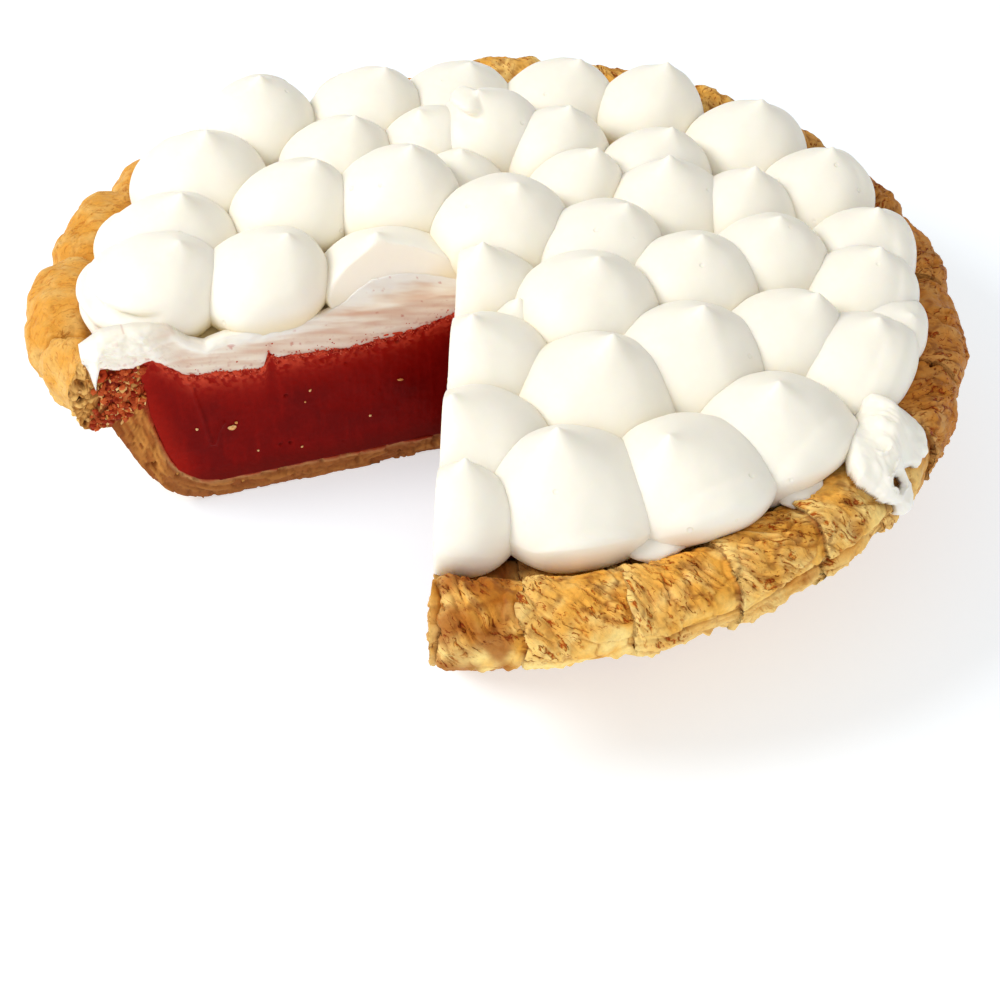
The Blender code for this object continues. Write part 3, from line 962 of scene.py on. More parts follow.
        first_pleat = between((262.0, 265.0, 271.0, 274.0), direction)
        dark_leaves = ramp(0.1, 0.6, -leaves)
        radius = np.hypot(points[..., 0], points[..., 1])
        # painted shade: the crust is painted dark brown just below the kisses
        shade_below_kisses = fall(108.0, 116.0 + 3.0 * soft, radius)
        burnt = ramp(0.35, 0.7, grain.layers(points + 140.0, 3.0, 2) + 0.2 * top)
        stain = np.exp(-(((direction - 321.0) * 2.2) ** 2 + (radius - 130.0) ** 2) / 16.0) * top
        colour = paint(
            gold,
            (light, pale),
            (linear(226, 146, 42), 0.3 * toast),
            # painted highlight on the ridges
            (light, 0.75 * ridge),
            (brown, 0.5 * strong * np.clip(valley, 0.0, 1.0)),
            (brown, 0.65 * crack * ramp(-0.4, 0.3, soft) * (1.0 - 0.7 * left)),
            (light, 0.45 * lip + 0.55 * drawn * np.exp(-after / 5.0)),
            (linear(164, 88, 16), 0.85 * first_pleat * ramp(-0.6, 0.2, slow)),
            # painted shade in the pleats' creases
            (linear(146, 62, 14), 0.9 * np.clip(crease, 0.0, 1.0) ** 1.5),
            # painted shade in the fold's recess
            (rust, 0.75 * fold),
            (linear(226, 180, 106), 0.5 * under),
            (brown, leafy * 0.5 * dark_leaves),
            (linear(176, 96, 24), right * 0.7),
            (linear(200, 136, 54), 0.55 * left),
            (rust, right * 0.4 * dark_leaves * (1.0 - top)),
            # painted shade below the kisses
            (linear(112, 54, 14), 0.8 * shade_below_kisses),
            (rust, 0.5 * burnt * top * (1.0 - left)),
            (linear(92, 30, 16), 0.85 * stain),
        )
        wrinkled = np.clip(0.05 + 1.2 * strong + 0.2 * left, 0.0, 1.0)
        folds = merged(along / 4.6, over / 2.3, number * 3.7, wrinkled)
        return relief, colour, folds

    def build_rim(self, part: str, first: float, last: float) -> Object:
        """Makes a stretch of the crimped rim with its relief, torn off at its ends.

        Args:
            part: The name of the stretch.
            first: Where it starts, in degrees.
            last: Where it ends.

        Returns:
            The stretch of the rim.
        """
        inside = [self.inner_wall[-1], *self.shoulder, *map(self.rim_point, range(158, 89, -6))]
        outside = [self.outer_wall[0], *map(self.rim_point, range(-72, 91, 6))]
        loop = np.concatenate([
            even_line(inside, self.rows_inside), even_line(outside, self.rows_outside)[-2::-1],
        ])
        turn = self.columns(first, last)
        headings = polar(turn)[:, None, :]
        plain = SLICE.on_ray(headings, loop[None, :, 0])
        direction = direction_of(plain)
        radius, height = (np.broadcast_to(column, direction.shape) for column in loop.T)
        bent = direction + 1.15 * self.grain.layers(raised(plain, height) + 21.0, 11.0, 4)
        moved = self.rim_offset(direction, radius, height, self.pleat_at(bent))
        ground = SLICE.on_ray(headings, radius + moved[..., 0])
        grid = raised(ground, height + moved[..., 1])
        rise = np.broadcast_to(lengths_along(loop), direction.shape)
        run = np.broadcast_to((np.radians(turn) * self.rim_length_at)[:, None], direction.shape)
        relief, tint, folds = self.relief(grid, bent, run, rise)
        keep = ramp(0.0, 6.0, rise) * ramp(0.0, 6.0, rise[0, -1] - rise)
        grid = grid - normals_of(grid) * (relief * keep)[..., None]
        points, faces, colours = self.close_ends(grid, tint, turn)
        return make_piece(
            f"crust_rim_{part}", points, faces, self.pastry, colours, folds=folds.reshape(-1, 4)
        )

    def close_ends(self, grid: Array, tint: Array, turn: Array) -> tuple[Array, list, Array]:
        """Closes the ends of a stretch of the rim with broken pastry.

        Args:
            grid: The rim's surface, columns by rows.
            tint: The colours on it.
            turn: The directions of the columns.

        Returns:
            Points, faces and colours of the closed rim.
        """
        columns, rows = grid.shape[:2]
        faces = sheet_faces(columns, rows, around=True)
        points, colours = [grid], [tint]
        shares = np.linspace(1.0, 0.0, 21)[:, None, None]
        for column, outward in ((0, polar(turn[0] - 90.0)), (columns - 1, polar(turn[-1] + 90.0))):
            ring = grid[column]
            middle = ring.mean(axis=0)
            cap = middle + (ring - middle)[None] * shares
            off, shade = self.broken(cap, column > 0)
            if 300.0 < turn[column] < 400.0:  # this end is hidden in the other stretch
                off = off * 0.0 - 3.0
            cap[..., :2] += outward * (off * (1.0 - shares[..., 0] ** 6))[..., None]
            if turn[column] > 500.0:  # the end at the slice's left face
                self.torn = cap
            faces += sheet_faces(len(shares), rows, start=len(listed(*points)), around=True)
            points.append(cap)
            colours.append(shade)
        return listed(*points), faces, listed(*colours)

    def broken(self, points: Array, stained: bool) -> tuple[Array, Array]:
        """How pastry breaks: layers, crumbs and hollows.

        Args:
            points: Points on the break.
            stained: Whether red custard is smeared into it.

        Returns:
            How far the break stands out, and its colour.
        """
        grain = self.grain
        lumps = grain.layers(points + 5.0, 4.5)
        gap, name = grain.cells(points, 1.9)
        crack = bell(gap, 0.16)
        hollow = ramp(0.2, 0.65, grain.layers(points + 20.0, 3.2, 2))
        off = 1.5 * lumps + 1.5 * (name - 0.5) - 0.6 * crack - 2.6 * hollow
        colour = paint(
            linear(196, 134, 62), (linear(238, 190, 110), name),
            # painted shade: the hollows are painted darker; the cracks are darker brown lines
            (linear(120, 62, 24), 0.7 * hollow + 0.4 * crack),
        )
        if stained:
            red = ramp(-0.45, 0.1, grain.layers(points + 60.0, 4.0) + 0.1)
            red = red * self.soaked(points)
            colour = paint(
                colour, (linear(158, 46, 22), 0.9 * red),
                (linear(206, 96, 46), 0.8 * red * ramp(0.5, 0.9, name)),
                # painted shade in the soaked hollows, and darker red cracks
                (linear(64, 14, 8), 0.85 * hollow + 0.5 * crack * red),
            )
        return off, colour

    def soaked(self, points: Array) -> Array:
        """1 where points of the torn end are soaked with custard, and 0 further out."""
        along = (points[..., :2] - SLICE.point) @ SLICE.along(Side.LEFT)
        return fall(-1.5, 1.5, along - (107.0 - 0.43 * (points[..., 2] - 37.0)))

    def shell_lines(self, rows: int) -> tuple[Array, ...]:
        """The section of the floor and wall, inside and outside, from the middle to the rim."""
        return tuple(even_line(line, rows, 1) for line in (
            ((0.0, self.floor_thickness), (40.0, self.floor_thickness), *self.inner_wall),
            ((0.0, 0.0), (40.0, 0.0), (self.foot_radius, 0.0), *self.outer_wall[::-1]),
        ))

    def build_shell(self) -> Object:
        """Makes the floor and the wall below the rim.

        Returns:
            The shell, set back a little at both faces of the slice.
        """
        back = SLICE.set_back(1.3)
        turns, rows, core = 420, 90, 20.0
        count = turns * rows
        headings = back.rays(evenly(turns))[:, None, :]
        sides = []
        for line in self.shell_lines(rows):
            reach = back.on_ray(headings, np.maximum(line[None, :, 0], core))
            near = np.minimum(line[:, 0] / core, 1.0)[None, :, None]
            sides.append(raised(np.array(back.point) + (reach - back.point) * near, line[:, 1]))
        inner, outer = sides
        relief, tint = self.wall_relief(outer)
        rise = np.arange(rows) / (rows - 1.0)
        keep = ramp(0.55, 0.66, rise) * fall(0.97, 1.0, rise)
        outer = outer + normals_of(outer) * (relief * keep)[..., None]
        outer[..., 2] = np.maximum(outer[..., 2], 0.0)
        plain = np.broadcast_to(linear(205, 150, 78), inner.shape)
        faces = sheet_faces(turns, rows) + sheet_faces(turns, rows, start=count)
        number = np.arange(count).reshape(turns, rows)
        for edge in (number[:, -1], number[0], number[-1]):
            faces += joining_faces(edge.tolist(), count)
        points, colours = listed(inner, outer), listed(plain, tint)
        return make_piece("crust_shell", points, faces, self.pastry, colours)

    def wall_relief(self, points: Array) -> tuple[Array, Array]:
        """The outside of the wall, as pressed and baked in its dish.

        Args:
            points: Points on the wall.

        Returns:
            The relief in millimetres and the colour.
        """
        soft = self.grain.layers(points, 9.0)
        gap, _ = self.grain.cells(points + 2.0 * soft[..., None], (8.0, 8.0, 5.0))
        crack = bell(gap, 0.06)
        relief = 0.35 * soft - 0.25 * crack + 0.1 * self.grain.layers(points, 1.5, 2)
        low = fall(2.0, 16.0, points[..., 2])
        return relief, paint(
            linear(186, 118, 48), (linear(228, 176, 96), ramp(-0.5, 0.5, soft)),
            (linear(150, 88, 34), 0.55 * crack), (linear(164, 100, 42), 0.5 * low),
        )

    def build_cut(self, side: Side) -> Object:
        """Makes the broken edge of the floor and wall along one face of the slice.

        Args:
            side: The face.

        Returns:
            A thin closed sheet.
        """
        rows, across, core = 300, 15, 20.0
        lines = []
        for line in self.shell_lines(rows):
            along = SLICE.face_reach(side, np.maximum(line[:, 0], core))
            lines.append(merged(along * np.minimum(line[:, 0] / core, 1.0), line[:, 1]))
        inside, outside = lines
        share = evenly(across)[:, None]
        flat = inside[:, None, :] * (1.0 - share) + outside[:, None, :] * share
        depth = share[..., 0] * length_of(outside - inside)[:, None]
        along, height = flat[..., 0], flat[..., 1]
        on_face = SLICE.on_face(side, along, height, 0.0)
        off, tint = self.layered_break(on_face, flat, depth, side is Side.LEFT)
        front = SLICE.on_face(side, along, height, off)
        rear = SLICE.on_face(side, along, height, -2.4)
        return make_sheet(f"crust_cut_{side.value}", front, rear, self.pastry, tint)

    def layered_break(
        self, points: Array, flat: Array, depth: Array, stained: bool
    ) -> tuple[Array, Array]:
        """The break through the pastry's layers, which follow the floor and the wall.

        Args:
            points: Points on the face.
            flat: Their places along and up the face.
            depth: How deep each lies in the pastry.
            stained: Whether custard is smeared along the inner edge.

        Returns:
            How far the break stands out, and its colour.
        """
        grain = self.grain
        lumps = grain.layers(points, 5.0)
        length = lengths_along(flat[:, 0])[:, None] + 1.5 * lumps
        gap, name = grain.cells(merged(length / 7.5, (depth + 0.9 * lumps) / 1.7, 0.0), 1.0)
        crack = bell(gap, 0.14)
        hollow = ramp(0.30, 0.75, grain.layers(points + 20.0, 3.0, 2))
        off = 0.55 * lumps + 0.9 * (name - 0.5) - 0.4 * crack - 1.1 * hollow
        whole = np.maximum(depth.max(axis=1, keepdims=True), 1e-6)
        floor = fall(84.0, 92.0, flat[..., 0])
        colour = paint(
            linear(152, 74, 26), (linear(216, 148, 70), name),
            (linear(146, 80, 32), 0.5 * ramp(0.62, 0.9, depth / whole)),
            # painted shade: the hollows are painted darker; the cracks are darker brown lines
            (linear(124, 66, 24), 0.7 * hollow + 0.45 * crack),
            (linear(150, 94, 50), 0.6 * floor),
            (linear(212, 168, 112), 0.6 * bell(depth / whole - 0.12, 0.10) * floor),
        )
        if stained:
            reach = 0.9 + 1.1 * ramp(20.0, 40.0, flat[..., 1]) + 0.6 * lumps
            stain = bell(depth, np.maximum(reach, 0.3))
            colour = blend(colour, linear(156, 30, 16), 0.9 * stain)
        return off, colour


def torn_sheet(front: Array, rear: Array, keep: Array) -> tuple[Array, list]:
    """Joins two grids into a closed sheet with a torn outline and holes.

    Args:
        front: The grid that shows, rows by columns.
        rear: The grid behind it.
        keep: True for each cell of the grid that is there.

    Returns:
        Points and faces, without the points that no face uses.
    """
    columns = front.shape[1]
    count = front.shape[0] * columns
    kept = np.pad(keep, 1)
    faces = []
    for row, column in zip(*np.nonzero(keep)):
        first = int(row * columns + column)
        corners = (first, first + 1, first + columns + 1, first + columns)
        faces.append(corners)
        faces.append(tuple(corner + count for corner in corners))
        beside = ((0, 1), (1, 2), (2, 1), (1, 0))  # in the padded grid, edge by edge
        for (down, right), start, after in zip(beside, corners, corners[1:] + corners[:1]):
            if not kept[row + down, column + right]:
                faces.append((start, after, after + count, start + count))
    used, numbers = np.unique(faces, return_inverse=True)
    return listed(front, rear)[used], numbers.reshape(-1, 4).tolist()


# Custard and cream bed


@dataclass
class Filling:
    """The red custard and the layer of cream on it."""

    crust: Crust
    custard: Material
    cream: Material
    level: float = 47.5
    dip: float = 4.0
    dip_radius: float = 76.0
    dip_spread: float = 20.0
    edge_rise: float = 4.5
    edge_radius: Pair = (84.0, 101.0)
    wave: float = 0.9
    wave_grain: float = 22.0
    cream_level: float = 57.3
    cream_fall: float = 5.5
    cream_reach: float = 103.0
    wall_gap: float = 0.4
    gap: float = 0.3
    curl: tuple = (
        (78.8, 45.0), (77.6, 38.0), (76.0, 30.0), (75.2, 24.0), (74.6, 20.8), (73.6, 20.6),
        (72.9, 22.5), (72.2, 25.0), (70.5, 27.5),
    )
    grain: Grain = Grain(23)

    def custard_height(self, points: Array) -> Array:
        """The top of the custard: level in the middle, with a dip, and higher at the wall.

        Args:
            points: Points, of which x and y count.

        Returns:
            Heights in millimetres.
        """
        radius = np.hypot(points[..., 0], points[..., 1])
        dip = self.dip * bell(radius - self.dip_radius, self.dip_spread)
        rise = self.edge_rise * ramp(*self.edge_radius, radius)
        waves = packed_noise(raised(points[..., :2], self.level), self.wave_grain)
        return self.level - dip + rise + self.wave * waves

    def cream_height(self, radius: Array) -> Array:
        """The top of the cream layer, heaped a little in the middle."""
        return self.cream_level - self.cream_fall * (radius / self.cream_reach) ** 2

    def wall_radius(self, height: Array) -> Array:
        """How far the filling reaches at a height, inside the crust's wall."""
        radius, wall = np.transpose(self.crust.inner_wall)
        return np.interp(height - self.gap, wall, radius) - self.wall_gap

    def block(self, cream: bool) -> tuple[Array, list]:
        """A body from the slice's point out to the wall, set back at both faces of the slice.

        Args:
            cream: Whether it is the cream layer that lies on the custard, or the custard.

        Returns:
            Points and faces of the closed body.
        """
        turns, rows, layers = 150, 60, 12
        back = SLICE.set_back(0.8 if cream else 1.2)
        shares = evenly(rows) ** 0.8
        up = evenly(layers) ** 1.6
        low, roof = self.crust.floor_thickness + self.gap, 51.0
        if cream:
            reach = np.interp(up, (0.0, 0.5, 1.0), (101.6, 104.0, self.cream_reach))
        else:
            reach = self.wall_radius(low + (roof - low) * up)
        headings = back.rays(evenly(turns))[:, None, :]
        start = np.array(back.point)
        outer = back.on_ray(headings, reach[None, :])
        ground = start + (outer[:, None] - start) * shares[None, :, None, None]
        top = self.custard_height(ground)
        if cream:
            low = top + self.gap
            top = np.maximum(self.cream_height(length_of(ground)), low + 0.5)
        grid = raised(ground, low + (top - low) * up)
        points, faces = [], []
        for side in (grid[:, :, -1], grid[:, :, 0], grid[:, -1], grid[0], grid[-1]):
            faces += sheet_faces(*side.shape[:2], start=sum(map(len, points)))
            points.append(side.reshape(-1, 3))
        return np.concatenate(points), faces

    def build_custard(self) -> Object:
        """Makes the body of the custard.

        Returns:
            The body.
        """
        points, faces = self.block(cream=False)
        soft = self.grain.layers(points, 8.0)
        tint = blend(linear(117, 13, 10), linear(142, 28, 17), ramp(-0.6, 0.8, soft))
        return make_piece("custard_body", points, faces, self.custard, tint)

    def build_cream(self) -> Object:
        """Makes the layer of cream that the kisses stand on, painted as cream in shade."""
        points, faces = self.block(cream=True)
        return make_piece("cream_bed", points, faces, self.cream, CREAM_IN_SHADE)

    def build_cut(self, smear: "KnifeSmear") -> Object:
        """Makes the cut face of the custard along one face of the slice.

        Args:
            smear: The cream that is smeared along its upper edge.

        Returns:
            A thin closed sheet.
        """
        side, rows, across, roof = smear.side, 100, 240, 51.5
        floor = self.crust.floor_thickness + self.gap
        up = evenly(rows)
        wall = self.wall_radius(floor + (roof - floor) * up) + self.wall_gap + 0.4
        along = evenly(across) * SLICE.face_reach(side, wall)[:, None]
        top = self.custard_height(SLICE.on_face(side, along, 0.0, 0.0)) + self.ragged(along, side)
        top = np.maximum(top, smear.edge(along) + 0.9)
        tall = floor + (top - floor) * up[:, None]
        off, tint = self.cut_relief(along, tall, top, side)
        front = SLICE.on_face(side, along, tall, off)
        rear = SLICE.on_face(side, along, tall, -2.2)
        return make_sheet(f"custard_cut_{side.value}", front, rear, self.custard, tint)

    def ragged(self, along: Array, side: Side) -> Array:
        """How the upper edge of the custard rises and falls along a face."""
        line = merged(along, 3.0 if side is Side.LEFT else 60.0, 0.0)
        return 0.7 * self.grain.layers(line, 9.0, 4, 0.7)

    def cut_relief(self, along: Array, height: Array, top: Array, side: Side) -> tuple[Array, ...]:
        """The relief and colour of the cut custard.

        Args:
            along: The distance from the slice's point along the face.
            height: The height.
            top: The height of the custard's upper edge.
            side: The face.

        Returns:
            How far the surface stands out, and its colour.
        """
        grain, left = self.grain, side is Side.LEFT
        flat = merged(along, 5.0 if left else 90.0, height)
        soft = grain.layers(flat, 14.0)
        streak = grain.layers(flat * (1.0, 1.0, 0.16), 2.6)
        fine = grain.layers(flat, 1.6, 2)
        below = top - height
        crumbly = bell(below, 4.5)
        granule = grain.cells(flat, 1.15)[1]
        pits = ramp(0.68, 0.9, grain.layers(flat + 30.0, 3.6, 2))
        off = 0.35 * soft + 0.10 * streak + 0.07 * fine - 0.9 * pits
        off = off + crumbly * (0.75 * (granule - 0.4) + 0.25)
        near_wall = ramp(84.0, 92.0, along + 0.25 * (40.0 - height)) * left
        if left:
            off = off + 0.55 * bell(apart_from(self.curl, merged(along, height), 99.0), 0.55)
        return off, paint(
            linear(122, 9, 5),
            (linear(106, 9, 7), ramp(-0.3, 0.7, soft)),
            (linear(140, 16, 9), 0.4 * ramp(-0.1, 0.7, streak)),
            (linear(158, 24, 13), 0.85 * bell(below, 9.0)),
            (linear(208, 76, 50), crumbly * ramp(0.15, 0.85, granule)),
            (linear(168, 28, 14), 0.6 * near_wall),
            # painted shade in the small pits
            (linear(84, 6, 5), 0.7 * pits),
            (linear(101, 16, 8), 0.7 * fall(7.0, 14.0, height)),
        )


@dataclass
class KnifeSmear:
    """The cream that the knife has dragged over a cut face, between the custard and the kisses.

    The lines are corners of distance from the slice's point along the face, and height.
    """

    side: Side
    upper: tuple
    lower: tuple
    ruffle: tuple[float, ...] = ()
    reach: float = 107.0
    cream_level: float = 57.3
    lean_back: float = 0.0
    lean_until: float = 36.0
    grain: Grain = Grain(53)

    def spot(self, along: Array, height: float | Array = 0.0) -> Array:
        """Places on the face, as the noise takes them; the two faces lie far apart in it."""
        return merged(along, 0.0 if self.side is Side.LEFT else 70.0, height)

    def edge(self, along: Array) -> Array:
        """The ragged height at which the custard ends and the smeared cream starts."""
        line, grain = self.spot(along), self.grain
        return read_line(self.lower, along) + (
            0.8 * grain.layers(line, 7.0, 4, 0.75) + 0.35 * grain.at(line, 1.1)
        )

    def build(self, material: Material) -> Object:
        """Makes the smear.

        Args:
            material: The cream.

        Returns:
            A closed sheet on the face of the slice.
        """
        grain, left = self.grain, self.side is Side.LEFT
        columns, rows = 250, 64
        along = np.broadcast_to(np.linspace(0.2, self.reach, columns), (rows, columns))
        edge = self.edge(along)
        roof = read_line(self.upper, along) + 0.5 * grain.layers(self.spot(along) + 9.0, 9.0)
        up = evenly(rows)[:, None]
        low = edge - 1.6
        height = low + (roof - low) * up
        flat = self.spot(along, height)
        slant = self.spot(along * 0.25 + height * 0.35, height - 0.22 * along)
        streaks = grain.layers(slant * (0.5, 1.0, 1.0), 2.6)
        soft = grain.layers(flat, 7.0)
        over = height - edge
        off = -0.9 + 1.35 * ramp(-0.9, 0.9, over) + 0.26 * streaks + 0.25 * soft
        under_top = bell(height - roof + 1.6, 1.6)
        ridge = under_top * (between((44.0, 52.0, 78.0, 84.0), along) if left else 0.3)
        off = off + 1.6 * ridge * (0.7 + 0.6 * soft)
        thick = 0.0
        if self.ruffle:
            end = ramp(*self.ruffle[:2], along)
            bulge = np.sqrt(np.clip(4.0 * up * (1.05 - up), 0.0, 1.0))
            folds = 0.72 + 0.42 * np.abs(grain.layers(flat * (1.0, 1.0, 1.5) + 40.0, 6.5))
            thick = end * bulge * folds
            off = off + self.ruffle[2] * thick + end * 0.45 * grain.layers(flat + 9.0, 2.6)
            off = off - 3.5 * ramp(self.reach - 4.0, self.reach, along)
        back = np.maximum(height - self.cream_level, 0.0) * self.lean_back
        off = off - back * fall(self.lean_until, self.lean_until + 5.0, along)
        front = SLICE.on_face(self.side, along, height, off)
        rear = SLICE.on_face(self.side, along, height, np.minimum(off - 1.0, -2.2))
        tint = self.tint(flat, over, streaks, up, thick + ridge)
        return make_sheet(f"cream_smear_{self.side.value}", front, rear, material, tint)

    def tint(self, flat: Array, over: Array, streaks: Array, up: Array, white: Array) -> Array:
        """The colour of the smear: pinkish where the knife was red, speckled near the custard.

        Args:
            flat: Places on the face.
            over: The height above the custard's edge.
            streaks: The streaks that the knife left.
            up: The share of the smear's height.
            white: Where thick cream was pushed up.

        Returns:
            One colour for each point.
        """
        layers = self.grain.layers
        over = np.maximum(over, 0.0)
        veil = ramp(-0.3, 0.6, layers(flat + 45.0, 8.0))
        specks = ramp(0.30, 0.5, layers(flat + 5.0, 1.3, 2))
        rare = ramp(0.62, 0.75, layers(flat + 25.0, 2.2, 2))
        return paint(
            linear(226, 200, 178),
            (linear(242, 228, 210), ramp(-0.5, 0.6, streaks)),
            (linear(220, 172, 146), 0.6 * ramp(0.1, 0.8, -streaks)),
            (CREAM_WHITE, ramp(0.6, 1.0, up + 0.3 * streaks) * 0.7),
            (CREAM_WHITE, white * 1.6),
            (linear(206, 108, 80), 0.38 * veil * np.exp(-over / 2.2)),
            (linear(178, 60, 42), 0.9 * specks * np.exp(-over / 2.6)),
            (linear(190, 96, 76), 0.6 * rare * (1.0 - np.clip(white, 0.0, 1.0))),
            (linear(176, 58, 42), 0.85 * bell(over, 0.7)),
        )


LEFT_SMEAR = KnifeSmear(
    Side.LEFT,
    upper=(
        (0.0, 60.5), (8.0, 63.2), (17.0, 65.2), (24.5, 65.0), (28.9, 63.0), (33.0, 60.5),
        (36.3, 59.5), (40.7, 58.0),
        (46.5, 57.6), (53.5, 58.2), (60.6, 58.2), (67.6, 58.2), (73.3, 56.8), (77.3, 58.8),
        (82.3, 63.5), (87.5, 66.1), (92.9, 66.7), (100.8, 67.0), (107.0, 63.0),
    ),
    lower=(
        (0.7, 50.1), (6.1, 48.6), (18.0, 46.2), (32.7, 44.9), (47.1, 46.2), (54.0, 46.6),
        (56.0, 49.5), (57.6, 44.4), (64.4, 44.3), (71.4, 45.6), (75.6, 45.7), (79.7, 47.0),
        (84.9, 52.4), (88.6, 56.0), (92.9, 55.0), (98.0, 55.5), (102.7, 56.5), (103.9, 52.5),
        (104.5, 48.0), (105.1, 52.5), (106.0, 56.5), (107.0, 58.0),
    ),
    ruffle=(78.0, 92.0, 4.6),
    lean_back=0.466,
)
RIGHT_SMEAR = KnifeSmear(
    Side.RIGHT,
    upper=((0.0, 58.5), (30.0, 58.5), (60.0, 57.0), (85.0, 55.5), (98.0, 54.0)),
    lower=((0.0, 49.5), (25.0, 47.0), (60.0, 45.0), (75.0, 46.0), (98.0, 50.0)),
    reach=98.0,
)


# The cream kisses


@dataclass(frozen=True)
class Kiss:
    """One dollop of cream: direction and distance from the middle, width, height and shape."""

    direction_deg: float
    distance: float
    width: float
    height: float
    point: float = 1.0
    lean: float = 5.0
    tip: Pair = (0.0, 0.0)

    @property
    def middle(self) -> Array:
        """Its middle on the ground."""
        return polar(self.direction_deg, self.distance)

    def by_point(self, *sizes: float) -> float:
        """A size that goes with how pointed it is, from its values for four points."""
        return np.interp(self.point, (0.7, 0.85, 1.0, 1.3), sizes)


SCOOPED = 38
UNCUT = (15, 18)  # they bulge a little over the left face
LOBED = 15
CURLED = 22
KISSES = tuple(Kiss(*row) for row in (
    (134, 106, 36, 27, 0.7, 2), (115.5, 94, 36, 24, 0.8, 7), (97.6, 93, 37, 21, 0.8),
    (77.7, 95, 35, 22, 0.75, 7), (60, 98, 33, 26, 0.8), (40, 101, 36, 25, 0.8, 4),
    (22, 104, 34, 25, 0.8, 3), (5, 107, 33, 24, 0.8, 2), (354.5, 103, 33, 24, 0.85, 4),
    (347, 112, 26, 17, 0.7, 0, (4, -4)), (337, 106, 36, 24, 0.8, 4),
    (317, 101, 40, 25, 0.95, -1, (-1, -1)), (300, 100, 41, 25, 0.9, -6, (-1, -3.5)),
    (282, 94, 42, 28, 1.2, -4), (265.5, 100, 27, 23, 0.85, 1, (0, 3)),
    (184.6, 96, 39, 24, 0.7, 9), (171, 96, 40, 24, 0.95, 6), (152, 101, 40, 25, 0.85, 4),
    (184.6, 65, 36, 22, 0.75, 8), (155, 65, 35, 25, 0.8, 8), (130, 74, 34, 22, 0.85, 6),
    (107, 66, 30, 21, 0.75, 3, (-6, -2)), (92, 66, 36, 26, 0.8, 4, (-6, -1.5)),
    (73, 62, 33, 23, 0.85), (45, 68, 33, 23, 0.85), (30, 60, 36, 24, 1.0, -1),
    (21, 78, 31, 23, 0.9, 3),
    (1, 78, 34, 24, 0.75, 2), (337, 85, 34, 24, 0.8, 8), (321, 67, 40, 25, 0.95, 3),
    (296, 61, 41, 25, 1.15, 4), (267, 75, 36, 23, 0.9, -4, (-2.5, 0)),
    (57, 45, 29, 21, 0.85, 6), (134, 41, 36, 27, 0.75), (82, 14, 38, 25, 0.7, 5, (0, -2)),
    (10, 30, 36, 23, 0.75, 8), (350, 56, 36, 24, 0.8, 2), (318, 34, 39, 25, 0.8, 3),
    (182.5, 29.7, 38, 17.5, 1.0, -3), (257, 13, 32, 22, 1.1, 0), (284, 28, 22, 14, 1.0, 0),
    (268, 44, 34, 22, 0.95, -4), (103, 47, 26, 15, 0.8, 1),
))
SLUMP_DEG = 325.5


